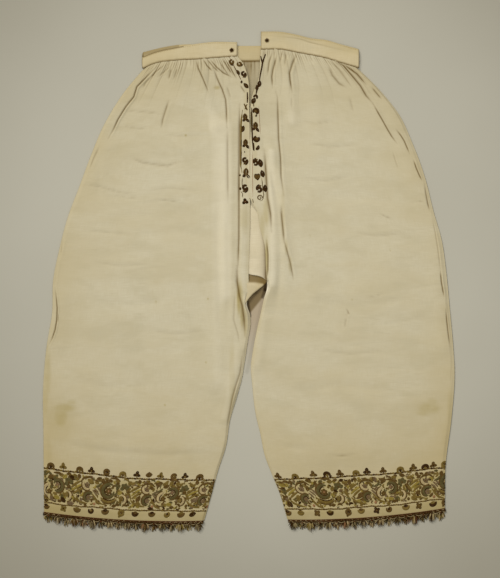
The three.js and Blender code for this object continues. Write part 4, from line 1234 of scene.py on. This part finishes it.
def scroll_repeat(st, x, h, pitch, twin):
    """One repeat of the wide border, from one slanting clasp to the next; h is its middle height."""
    st.bold = 1.22
    for k, silk in ((-1, OLIVE), (0, YELLOW_GREEN), (1, OLIVE)):
        st.motif(x + k * 2.4, h + 4 - k * 5.4, 33).line(
            [(-10.5, 0), (-4, 0.9), (4, 0.9), (10.5, 0)], [2.0, 3.5, 3.7, 3.5, 1.8], silk)
    stems = [
        ([(-9, -9), (-2, -16), (8, -20), (18, -22)], OLIVE), ([(8, 14), (14, 21), (26, 23), (34, 17)], BROWN),
        ([(30, -3), (36, -11), (44, -19), (54, -22)], OLIVE), ([(60, 23), (70, 23), (78, 19)], BROWN),
        ([(94, 2), (100, -5), (104, -14)], OLIVE), ([(33, 8), (40, 10), (45, 16)], GREY_GREEN),
    ]
    for line, silk in stems:
        st.motif(x, h).line(line, [1.4, 3.3, 3.6, 3.2, 1.4], silk)
    st.motif(x + 20, h + 11, -20).scroll(0, 0, 8.8, 165, 165, [1.8, 4.8, 6.0, 5.4, 3.6, 1.4], PALE, 0.24)
    st.motif(x + 19, h + 10).rosette(0, 0, 5.6, 5, MAUVE, BROWN)
    st.motif(x + 22, h - 10, 8).scroll(0, 0, 8.4, 30, 250, [1.8, 4.4, 5.4, 5.0, 3.8, 1.6], GREY_GREEN, 0.18)
    st.motif(x + 22, h - 10).rosette(0, 0, 5.4, 5, MAUVE, OLIVE)
    st.motif(x + 5, h + 20, 15).leaf(0, 0, 100, 8, 6.2, BROWN)
    st.motif(x - 12, h + 3, 0).leaf(0, 0, 150, 9, 6.0, BROWN)
    for k in (-1, 0, 1):
        st.motif(x + 37 + k * 3.2, h + 1 + k * 3.4, -48)
        st.line([(-6.5, 0), (0, 0.7), (6.5, 0)], [1.8, 3.1, 1.8], MAUVE)
    if twin:
        st.motif(x + 50, h - 6).scroll(0, 0, 10.2, 90, 170, [2.0, 5.2, 6.4, 5.4, 3.8, 1.6], PALE, 0.34)
        st.motif(x + 66, h + 5).scroll(0, 0, 10.5, 240, 285, [2.2, 5.4, 6.6, 6.0, 4.6, 2.0], GREY_GREEN, 0.3)
        st.motif(x + 51, h - 6).rosette(0, 0, 5.2, 5, BROWN, OLIVE)
        st.motif(x + 66, h + 5).rosette(0, 0, 5.0, 4, MAUVE, ROSE)
        st.motif(x + 48, h + 15, 0).leaf(0, 0, 15, 12, 7.0, BROWN)
        st.motif(x + 70, h - 17, 0).leaf(0, 0, 170, 12, 7.0, YELLOW_GREEN)
    else:
        st.motif(x + 59, h + 3).scroll(0, 0, 12.5, 60, 300, [2.2, 5.6, 7.0, 6.8, 5.2, 2.2], GREY_GREEN, 0.3)
        st.motif(x + 59, h + 3).scroll(0, 0, 19.5, 215, 105, [1.8, 4.6, 5.4, 4.4, 1.6], OLIVE)
        st.motif(x + 59, h + 3).rosette(0, 0, 6.6, 6, BROWN, ROSE)
        st.motif(x + 46, h + 15, 0).leaf(0, 0, 80, 9, 6.0, BROWN)
    st.motif(x + 83, h - 9, 12).scroll(0, 0, 9.0, 270, 160, [1.8, 4.8, 6.0, 5.2, 3.6, 1.4], PALE, 0.28)
    st.motif(x + 83, h - 9).rosette(0, 0, 5.0, 5, OLIVE, MAUVE)
    for angle in (15, 75, 135, 200):
        st.motif(x + 87, h + 11).leaf(0, 0, angle, 9.0, 6.4, GREY_GREEN)
    st.motif(x + 87, h + 11).dot(0, 0, 2.2, BROWN)
    for angle in (50, 125):
        st.motif(x + 100, h + 16).leaf(0, 0, angle, 8.0, 5.4, OLIVE)
    st.motif(x + 78, h + 21, 0).leaf(0, 0, 175, 10, 5.6, OLIVE)
    st.motif(x + 97, h - 19).dot(0, 0, 2.6, BROWN)
    st.motif(x + 75, h - 21).leaf(0, 0, 190, 9, 5.2, BROWN)
    st.motif(x + 34, h - 21).dot(0, 0, 2.5, ROSE)
    silks = [OLIVE, BROWN, GREY_GREEN, OLIVE, BROWN, MAUVE, OLIVE, BROWN, UMBER, YELLOW_GREEN]
    st.bold = 1.1
    st.fill(x - 14, x + pitch - 13, h - 24.6, h + 26, 620, silks)
    st.bold = 1.0


# Motifs of the single rows by letter, and their silks in turn.
ROW_MOTIFS = {
    "A": Stitcher.arch, "T": Stitcher.trefoil, "B": Stitcher.berry, "O": Stitcher.blob, "W": Stitcher.bowl,
    "C": Stitcher.clover, "L": Stitcher.curl,
}
ROW_SILKS = [(BROWN, UMBER), (OLIVE, UMBER), (BROWN, OLIVE), (UMBER, OLIVE), (BROWN, UMBER), (OLIVE, BROWN),
             (UMBER, BROWN)]


class Hem:
    """u runs round the hem, to the viewer's right on the front; h is the height over the edge.

    The border widens a little towards the outer fold, by the leg's own share.
    """

    def __init__(self, leg, widen, narrow):
        self.leg, self.widen, self.narrow = leg, widen, narrow
        q = np.linspace(0, 3, 1201)
        path = leg.point(q, LEG_LENGTH - SCROLL_MIDDLE)
        run = run_along(path)
        self.q, self.run, self.total = q, run, run[-1]
        self.front_length = run[q <= 1][-1]

    def along(self, pixels, height):
        """u of points of the front, given by their pixel columns at a height over the edge."""
        front = self.q <= 1
        path_x = self.leg.point(self.q[front], LEG_LENGTH - height)[:, 0]
        order = np.argsort(path_x)
        xs = [(px - PHOTO_ZERO[0]) * PIXEL for px in pixels]
        return list(np.interp(xs, path_x[order], self.run[front][order]) * self.leg.side)

    def mapper(self, u, h):
        from_inseam = np.mod(u * self.leg.side, self.total)
        q = np.interp(from_inseam, self.run, self.q)
        swell = self.widen * bell(from_inseam - self.front_length, 115)
        swell = swell - self.narrow * bell(np.minimum(from_inseam, self.total - from_inseam), 60)
        upper = soft_step((h - LOWER_LINE) / (UPPER_LINE - LOWER_LINE))
        here, normal = self.leg.frame_at(q, LEG_LENGTH - h * (1 + swell * upper))
        return here, normal

    def span(self):
        return (0.0, self.total) if self.leg.side > 0 else (-self.total, 0.0)


def wavy_line(st, low, high, h, silks, width):
    """A run of slanting stitches in changing silks that wanders a little."""
    u = low
    k = 0
    while u < high - 4:
        drift = 0.7 * math.sin(u / 19) + 0.4 * math.sin(u / 6.1)
        st.at, st.turn, st.size = (u, h + drift), math.radians(7 * math.sin(k * 1.7)), 1.0
        st.line([(0, 0), (2.3, 0.3), (4.7, 0)], [width * 0.6, width, width * 0.6], silks[k % len(silks)])
        u += 4.3
        k += 1


def hem_embroidery(leg, clasps, top_row, low_row, widen, narrow, seed):
    """clasps are pixel columns; a row is its pixel columns and the letters of its motifs."""
    hem = Hem(leg, widen, narrow)
    st = Stitcher(hem.mapper, seed)
    low, high = hem.span()
    starts = hem.along(clasps, SCROLL_MIDDLE)
    rest = hem.total - (starts[-1] - starts[0])
    more = round(rest / SCROLL_PITCH)
    starts += [starts[-1] + rest * k / more for k in range(1, more)]
    pitches = np.diff(starts + [starts[0] + hem.total])
    for k, (at, pitch) in enumerate(zip(starts, pitches)):
        scroll_repeat(st, at, SCROLL_MIDDLE, pitch, twin=(k % 2 == 1))
    wavy_line(st, low, high, UPPER_LINE, (BROWN, OLIVE, UMBER), 3.7)
    wavy_line(st, low, high, LOWER_LINE, (BROWN, OLIVE, BROWN), 3.3)
    # Each row's motifs, height over the edge, pitch on the back in pixels and size.
    rows = ((top_row, TOP_ROW_HEIGHT, 13.6, 1.04), (low_row, LOW_ROW_HEIGHT, 14.4, 1.1))
    for (pixels, kinds), height, pitch_px, size in rows:
        places = hem.along(pixels, height)
        free = hem.total - hem.front_length
        count = int(round(free / (pitch_px * PIXEL)))
        places += [leg.side * (hem.front_length + free * (k + 0.5) / count) for k in range(count)]
        for k, u in enumerate(places):
            st.motif(u, height, (k * 37) % 17 - 8, size)
            ROW_MOTIFS[kinds[k % len(kinds)]](st, *ROW_SILKS[k % len(ROW_SILKS)])
    piece = st.threads.object(leg.name + "_hem_embroidery", SILKS)
    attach(piece, "root")
    return piece


# ------------------------------------------------------------------ the fly's borders


FLY_SCALE = 1.1
# Strokes of each motif of the fly, in millimetres about its middle at size 1 / FLY_SCALE.
FLY_MOTIFS = {
    "snail": [(Stitcher.arc, 0, 0, 3.8, 80, 340, [2.4, 4.0, 4.6, 4.2, 3.0], BROWN, 0.3),
              (Stitcher.leaf, -2.6, -2.0, -40, 7.0, 4.6, UMBER)],
    "comma": [(Stitcher.arc, -0.2, 2.2, 3.1, 40, 330, [3.4, 4.4, 4.4, 3.8], UMBER),
              (Stitcher.leaf, 4.4, 2.4, -118, 10.4, 5.6, UMBER),
              (Stitcher.leaf, 1.2, -2.6, -160, 5.6, 3.4, BROWN)],
    "slant": [(Stitcher.leaf, -5.2, -4.8, 44, 14.0, 7.4, UMBER),
              (Stitcher.line, [(-3.0, -2.6), (0.4, 0.2), (3.4, 3.2)], [0.8, 1.8, 0.8], BROWN, 0.95)],
    "drop": [(Stitcher.leaf, 0, -5.4, 88, 11.6, 6.8, UMBER)],
    "bud": [(Stitcher.leaf, -2.2, 0, 10, 4.6, 3.2, UMBER)],
    "trefoil": [(Stitcher.leaf, 0, -0.8, 88, 6.0, 5.8, UMBER), (Stitcher.leaf, 0, -0.8, 208, 6.0, 5.8, UMBER),
                (Stitcher.leaf, 0, -0.8, -28, 6.0, 5.8, UMBER), (Stitcher.dot, 0, -0.6, 1.2, ROSE)],
    "sprig": [(Stitcher.leaf, -0.6, -4.6, 84, 13.0, 9.0, BROWN),
              (Stitcher.leaf, -0.6, -2.6, 212, 6.4, 5.2, UMBER),
              (Stitcher.leaf, 0.4, -1.6, -56, 10.4, 5.2, UMBER),
              (Stitcher.line, [(-2.2, -2.4), (-1.4, 3.0), (0.2, 6.6)], [1.4, 2.6, 1.4], UMBER, 0.95),
              (Stitcher.line, [(2.4, -2.4), (2.2, 2.0), (0.8, 6.0)], [1.4, 2.6, 1.4], UMBER, 0.95)],
    "hook": [(Stitcher.leaf, -5.6, -7.6, 58, 12.4, 8.2, UMBER),
             (Stitcher.arc, 1.6, 4.2, 3.0, 190, -250, [3.2, 4.2, 4.6, 4.2, 3.2], UMBER)],
    "shell": [(Stitcher.arc, 0, 1.0, 3.8, 210, -300, [3.0, 4.2, 4.8, 5.0, 5.0, 3.6], UMBER, 0.1),
              (Stitcher.dot, -0.2, 0.8, 2.6, BROWN)],
    "heart": [(Stitcher.leaf, -5.0, 2.8, -40, 10.6, 7.4, BROWN),
              (Stitcher.leaf, 5.0, 2.8, 220, 10.6, 7.4, BROWN),
              (Stitcher.leaf, 0.4, -6.4, 88, 7.4, 5.4, UMBER),
              (Stitcher.line, [(-4.6, 3.6), (-1.8, 4.6), (0, 2.4), (1.8, 4.6), (4.6, 3.6)],
               2.0, UMBER, 0.95)],
    "spiral": [(Stitcher.arc, 0, 0, 4.6, 0, 470, [1.4, 1.9, 1.9, 1.8, 1.2], BROWN, 0.72)],
}


def fly_mapper(leg):
    def mapper(x, y):
        share, d = leg.find(x, y)
        return leg.frame_at(share, d)
    return mapper


def stitch_fly(leg, stems, motifs, seed):
    """Motifs are (pixel, kind, turn, size); stems are lines of pixels."""
    st = Stitcher(fly_mapper(leg), seed)
    for line, width, silk in stems:
        st.at, st.turn, st.size = (0.0, 0.0), 0.0, 1.0
        st.line(photo(line), width, silk)
    for pixel, kind, turn, size in motifs:
        x, y = photo([pixel])[0]
        st.motif(x, y, turn, size * FLY_SCALE)
        for stroke, *values in FLY_MOTIFS[kind]:
            stroke(st, *values)
    piece = st.threads.object(leg.name + "_fly_embroidery", SILKS)
    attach(piece, "root")
    return piece


LEFT_FLY_STEMS = [
    ([(233, 65), (235.4, 69), (238.5, 75), (241.4, 81)], 1.5, BROWN),
    ([(242.4, 110), (241.6, 118), (241, 126), (241, 140), (240.8, 156), (240.8, 166), (242, 173)], 3.2,
     OLIVE),
    ([(241.2, 150), (240.9, 158), (241, 166)], 3.0, BROWN), ([(241, 138), (241, 148)], 3.2, UMBER),
    ([(247.3, 92.6), (247.5, 98), (247.3, 103)], [2.0, 3.0, 2.2], UMBER),
    ([(244, 104), (245.4, 106.6), (247.2, 110.4)], [2.0, 3.2, 2.4], BROWN),
    ([(247.2, 104.4), (245.8, 106.8), (245, 109.6)], [1.4, 2.6, 1.4], BROWN),
    ([(242.3, 178), (242, 183), (242.3, 187)], 1.4, BROWN),
    ([(240.8, 191.4), (242.6, 194), (242.2, 197.4)], 1.3, BROWN),
    ([(248.8, 80), (250.2, 94), (250.2, 106), (250.2, 118), (250, 150), (249.8, 190)], 0.8, ROSE),
    ([(249.6, 198), (251, 200.6), (252.2, 203.6)], 1.5, BROWN),
]
LEFT_FLY = [
    ((231.7, 62.4), "snail", 0, 1.0), ((239.3, 64.6), "snail", 60, 0.95), ((238, 72.7), "slant", 78, 0.72),
    ((244.2, 75.0), "comma", 20, 0.9), ((241.8, 82.5), "bud", 70, 1.1), ((246.3, 86.0), "slant", 88, 0.82),
    ((245.0, 117.6), "sprig", 8, 0.9), ((242.9, 129.2), "slant", 28, 0.8), ((242.6, 127.6), "bud", 140, 1.4),
    ((245.7, 143.6), "sprig", 0, 0.9), ((245.2, 161.2), "comma", 4, 1.0), ((245.9, 173.2), "sprig", 0, 1.05),
    ((245.4, 188.8), "comma", 0, 1.08), ((244.8, 201.2), "trefoil", 8, 1.0), ((240.2, 175.3), "bud", 80, 0.8),
    ((240.4, 188.9), "bud", 84, 1.1), ((241.2, 151), "bud", 95, 0.7), ((244.8, 152), "bud", 80, 0.6),
]
RIGHT_FLY_STEMS = [
    ([(265.5, 54.6), (262.6, 62.6), (261.8, 68), (260.4, 74.4), (259.4, 81)], [2.2, 3.2, 3.0, 2.8, 2.0],
     UMBER),
    ([(260.7, 56.6), (262.1, 63.4)], [1.6, 2.8, 2.0], UMBER),
    ([(257.4, 86.6), (256.6, 92), (256, 95)], [3.6, 3.4, 1.8], UMBER),
    ([(253.4, 103.6), (253.8, 107)], 1.8, BROWN),
    ([(251.6, 108), (251.8, 118), (252.0, 128), (252.4, 139), (253.2, 150)], [1.2, 3.4, 2.8, 2.8, 1.6],
     UMBER),
    ([(251.0, 112), (251.2, 122), (251.4, 132)], [1.0, 2.2, 1.0], GREY_GREEN),
    ([(253.6, 143), (254.0, 151)], [1.8, 3.0, 1.8], UMBER),
    ([(261.6, 178), (262.2, 182), (262.8, 190), (263.8, 195), (262.6, 200), (259.8, 201)], 1.5, BROWN),
    ([(252.6, 152), (252.6, 170), (252.8, 197)], 0.8, ROSE),
    ([(258.8, 106), (259.6, 122), (260.4, 134)], 0.8, ROSE),
    ([(252.6, 199), (253.4, 203.4)], 1.4, BROWN),
]
RIGHT_FLY = [
    ((259.3, 84.4), "drop", -8, 1.0), ((256.7, 88.2), "drop", 6, 0.9), ((254.6, 100), "hook", 0, 0.92),
    ((255.6, 112.0), "shell", 0, 1.05), ((256.6, 116.0), "bud", 60, 1.0), ((255.4, 126.6), "sprig", 0, 0.95),
    ((256.8, 138.4), "shell", 190, 1.1), ((258.0, 148), "drop", -16, 0.78), ((256.9, 149.2), "bud", 80, 1.0),
    ((255.7, 161.8), "comma", 182, 0.95), ((260.5, 163.4), "drop", 18, 1.2),
    ((257.2, 176.6), "heart", 0, 0.95),
    ((262.5, 174), "drop", 22, 1.15), ((258.9, 188.7), "comma", 180, 1.08), ((264.9, 188.6), "drop", 10, 1.1),
    ((259.9, 198), "spiral", 0, 1.0), ((253.6, 146), "bud", 90, 0.8),
]


# ------------------------------------------------------------------ braid, swags and tufts of the hem

BRAID_DEPTH = 6.0
TUFTS = 36
SEAM_GAP = 0.3
BIG_TUFT_SILKS = [(GREY_GREEN, UMBER), (OLIVE, YELLOW_GREEN), (GREY_GREEN, BROWN), (BROWN, ROSE),
                  (GREY_GREEN, UMBER), (BROWN, PALE), (UMBER, GREY_GREEN), (RUST, OLIVE)]


def lace_object(leg):
    q = np.linspace(0, 3, 1501)
    path = leg.point(q, LEG_LENGTH)
    run = run_along(path)
    total = run[-1]

    def spot(s, down, out, thick=0.6):
        """Points at length s along the hem, hanging down from it and out from the cloth, over the floor."""
        s, down, out = np.broadcast_arrays(*(np.asarray(v, float) for v in (s, down, out)))
        here = np.stack([np.interp(s, run, path[:, i]) for i in range(3)], axis=-1)
        ahead = np.stack([np.interp(s + 1, run, path[:, i]) for i in range(3)], axis=-1)
        behind = np.stack([np.interp(s - 1, run, path[:, i]) for i in range(3)], axis=-1)
        tangent = ahead - behind
        length = np.hypot(tangent[..., 0], tangent[..., 2]) + 1e-9
        normal = np.stack([-tangent[..., 2], 0 * length, tangent[..., 0]], axis=-1)
        normal = normal / length[..., None] * leg.side
        moved = here + normal * out[..., None]
        moved[..., 1] -= down
        moved[..., 2] = np.maximum(moved[..., 2], thick + 0.05)
        return moved

    threads = Threads()
    s = np.arange(2, total - 2, 0.95)
    for k in range(3):
        phase = 2 * np.pi * s / 10.5 + 2 * np.pi * k / 3
        wobble = 0.3 * np.sin(s / 31)
        down = SEAM_GAP + BRAID_DEPTH / 2 + 1.9 * np.sin(phase) + wobble
        line = spot(s, down, 0.75 * np.cos(2 * phase) + 0.2, 1.2)
        round_tube(threads, line, 1.25, BROWN if k == 0 else UMBER, 6)
    round_tube(threads, spot(s, SEAM_GAP + 0.4 + 0.2 * np.sin(s / 5), 1.3), 0.55, RUST, 5)
    for silk, pitch, offset, rise, shy in ((PALE, 9.4, 0.0, 2.4, 0.1), (ROSE, 8.1, 4.3, 1.7, 0.5)):
        phase = 2 * np.pi * (s + offset) / pitch + 0.6 * np.sin(s / 37)
        zigzag = 2 / np.pi * np.arcsin(np.sin(phase))
        seen = soft_step((np.sin(s / 21 + offset) + 0.6 * np.sin(s / 8.3) - shy + 0.5) / 0.8)
        line = spot(s, SEAM_GAP + BRAID_DEPTH / 2 + rise * zigzag, 0.2 + 1.6 * seen + 0.25 * np.cos(phase))
        round_tube(threads, line, 0.32, silk, 5)

    rng = np.random.default_rng(leg.seed + 9)
    cells = 2 * TUFTS + 1
    spacing = total / cells
    for k in range(TUFTS):
        middle = (2 * k + 1.5) * spacing
        big = k % 2 == 0
        silk, second = BIG_TUFT_SILKS[(k // 2) % len(BIG_TUFT_SILKS)] if big else (UMBER, GREY_GREEN)
        strands = 36 if big else 16
        drop = (16.4 if big else 7.6) * rng.uniform(0.86, 1.14)
        spread = 9.6 if big else 5.2
        start = SEAM_GAP + BRAID_DEPTH - 1.6
        for strand in range(strands):
            lean = (strand / (strands - 1) - 0.5) * 2 + rng.uniform(-0.15, 0.15)
            t = np.linspace(0, 1, 6)
            reach = middle + spread * lean * (0.4 + 0.6 * t**0.8) + rng.uniform(-0.4, 0.4)
            down = start + drop * t * (1 - 0.5 * lean * lean) * rng.uniform(0.62, 1.06)
            out = 0.2 + rng.uniform(-0.5, 0.8) * np.sin(np.pi * t)
            shade = (silk, second, UMBER, PALE)[int(rng.choice(4, p=(0.30, 0.22, 0.22, 0.26)))]
            round_tube(threads, spot(reach, down, out), np.linspace(0.78, 0.32, 6), shade, 5)
        knot = spot(middle + np.linspace(-1.8, 1.8, 5), start + 1.2, 1.1)
        round_tube(threads, knot, [0.4, 1.0, 1.2, 1.0, 0.4], UMBER if big else RUST, 6)
        for depth, silk_swag, thick in ((4.6, PALE, 0.42), (3.2, UMBER, 0.8), (2.0, UMBER, 0.8)):
            t = np.linspace(0, 1, 13)
            width = 2 * spacing
            sag = depth * (1 - (2 * t - 1) ** 2) * rng.uniform(0.85, 1.1)
            if middle + width < total - 1:
                line = spot(middle + width * t, start - 2.6 + sag, 1.5 + 0.35 * np.sin(np.pi * t))
                round_tube(threads, line, thick, silk_swag, 5)
    piece = threads.object(leg.name + "_lace_silk", SILKS)
    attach(piece, "root")
    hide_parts(leg.name + "_lace")
    return piece


# ------------------------------------------------------------------ build everything

left_leg, right_leg = leg_object(LEFT), leg_object(RIGHT)
waistband = band_object()
stitches = band_stitches_and_bore_shade()
front_gusset, back_gusset = gusset_front(), gusset_back()
TOP_LEFT = [50.9, 63.5, 79.6, 91.7, 106.9, 122.7, 137, 149, 160.6, 174.2, 185.2, 200]
LOW_LEFT = [46.3, 63.5, 77.3, 91, 105.4, 121.5, 135, 151.8, 167, 181.2, 192.7]
TOP_RIGHT = [277.5, 294.4, 313, 326.8, 339.5, 356, 367, 383, 400, 413, 425, 433, 444]
LOW_RIGHT = [287.8, 301, 317.4, 330.3, 348.6, 361.5, 376.6, 389, 406, 419, 433, 445]
left_hem = hem_embroidery(LEFT, [77, 136, 192.5], (TOP_LEFT, "ATATBATOTBTA"), (LOW_LEFT, "WCWLWBWWLWO"),
                          0.12, 0.0, 21)
right_hem = hem_embroidery(RIGHT, [292.7, 355.5, 415.5], (TOP_RIGHT, "TATATATTATATB"),
                           (LOW_RIGHT, "WOCWBWCLWCWB"), 0.05, 0.04, 22)
left_fly = stitch_fly(LEFT, LEFT_FLY_STEMS, LEFT_FLY, 23)
right_fly = stitch_fly(RIGHT, RIGHT_FLY_STEMS, RIGHT_FLY, 24)
left_lace, right_lace = lace_object(LEFT), lace_object(RIGHT)

# ------------------------------------------------------------------ floor, light and camera

SHADE_EDGE = [(250.4, 313.2), (263.4, 297.2)]     # pixels where the shade under the crotch ends
SHADE_MIDDLE = (256, 300)
# Painted contact shade: dark lines where raised cloth nears the floor: two ends in pixels, strength.
CONTACT_SHADE_LINES = [
    ((265.6, 283), (265.2, 290), 0.9), ((265.0, 290), (262.8, 297), 0.6), ((247.4, 302), (249.6, 316), 0.75),
    ((249.6, 301), (255.5, 293), 0.2), ((255.5, 293), (262, 285.5), 0.36), ((262, 301), (247, 372), 0.12),
]


def on_floor(pixel):
    """A pixel of the photograph as a point of the floor, in metres."""
    x, y = photo([pixel])[0]
    return Vector(((x + DRAWING_X) * MM, (y + DRAWING_Y) * MM, 0))


def near_segment(n, first, last):
    """Distance in metres from a floor point to the line between two pixels."""
    start, span = on_floor(first), on_floor(last) - on_floor(first)
    offset = n.vector("SUBTRACT", n.room, start, "Vector")
    share = n.times(n.vector("DOT_PRODUCT", offset, span), 1 / span.length_squared)
    share = n.calculate("MINIMUM", n.calculate("MAXIMUM", share, 0.0), 1.0)
    foot = n.add("VectorMath", {0: span, "Scale": share}, "Vector", operation="SCALE")
    return n.vector("DISTANCE", offset, foot)


def floor_material():
    """Plain grey paper, with a painted fall-off of the light that leaves it darker far out, the painted
    shadow that the raised crotch throws on it and painted contact shade where raised cloth nears it.
    """
    n = Nodes("floor_grey")
    cloudy = n.noise(n.room, 2.2, 3.0, 0.5)
    grain = n.noise(n.room, 240.0, 2.0, 0.5)
    grey = n.mix(n.ramp(cloudy, 0.3, 0.7), rgb(186, 182, 166), rgb(191, 187, 171))
    grey = n.mix(n.times(grain, 0.02), grey, rgb(150, 144, 126))
    # painted fall-off of the light: darker far from the middle
    away = n.vector("DISTANCE", n.room, (0.02, 0.04, 0.0))
    grey = n.mix(n.ramp(away, 0.36, 0.86, 0.0, 0.55), grey, rgb(140, 133, 114))
    start, end = (on_floor(pixel) for pixel in SHADE_EDGE)
    along = (end - start).normalized()
    outward = Vector((along.y, -along.x, 0))
    ends_at = start.dot(outward)
    across = n.vector("DOT_PRODUCT", n.room, outward)
    near = n.vector("DISTANCE", n.room, on_floor(SHADE_MIDDLE))
    # painted shade over the gap between the legs
    grey = n.mix(n.ramp(near, 0.02, 0.16, 0.46, 0.0), grey, rgb(166, 130, 80))
    # painted shadow under the crotch, up to the line of SHADE_EDGE
    under_edge = n.ramp(across, ends_at - 0.003, ends_at + 0.002, 0.94, 0.0)
    grey = n.mix(n.times(under_edge, n.ramp(near, 0.036, 0.052, 1.0, 0.0)), grey, rgb(121, 103, 71))
    # painted contact shade along each line
    for first, last, strength in CONTACT_SHADE_LINES:
        line = n.ramp(near_segment(n, first, last), 0.0012, 0.0052, strength, 0.0)
        grey = n.mix(line, grey, rgb(36, 22, 6))
    n.surface(grey, roughness=0.95, specular=0.1)
    return n.material


bpy.ops.mesh.primitive_plane_add(size=12.0, location=(0, 0, -0.0003))
floor = bpy.context.object
floor.name = "floor"
floor.data.materials.append(floor_material())


def area_light(name, place_at, aim, size, power, colour):
    data = bpy.data.lights.new(name, "AREA")
    data.shape = "SQUARE"
    data.size = size
    data.energy = power
    data.color = colour
    lamp = add_object(name, data)
    lamp.location = place_at
    lamp.rotation_euler = (Vector(aim) - Vector(place_at)).to_track_quat("-Z", "Y").to_euler()


area_light("soft_overhead", (0.0, 0.22, 1.3), (0, 0.22, 0), 0.9, 7.25, (1.0, 0.985, 0.95))

sun_data = bpy.data.lights.new("soft_window", "SUN")
sun_data.energy = 1.5
sun_data.angle = math.radians(26)
sun_data.color = (1.0, 0.975, 0.93)
sun = add_object("soft_window", sun_data)
sun.rotation_euler = (math.radians(-38), math.radians(-38), 0)

world = bpy.data.worlds.new("studio")
world.use_nodes = True
background = world.node_tree.nodes["Background"]
background.inputs["Color"].default_value = (0.93, 0.93, 0.91, 1)
background.inputs["Strength"].default_value = 0.30
bpy.context.scene.world = world

CAMERA_DISTANCE = 3.0
camera_data = bpy.data.cameras.new("camera")
camera_data.sensor_width = 36
camera_data.lens = 36 * CAMERA_DISTANCE / (PHOTO_SIZE[1] * PIXEL * MM)
camera = add_object("camera", camera_data)
centre_x = (PHOTO_SIZE[0] / 2 - PHOTO_ZERO[0]) * PIXEL + DRAWING_X
centre_y = (PHOTO_ZERO[1] - PHOTO_SIZE[1] / 2) * PIXEL + DRAWING_Y
camera.location = (centre_x * MM, centre_y * MM, CAMERA_DISTANCE)
camera.rotation_euler = (0, 0, 0)
bpy.context.scene.camera = camera
bpy.context.scene.view_settings.view_transform = "Standard"
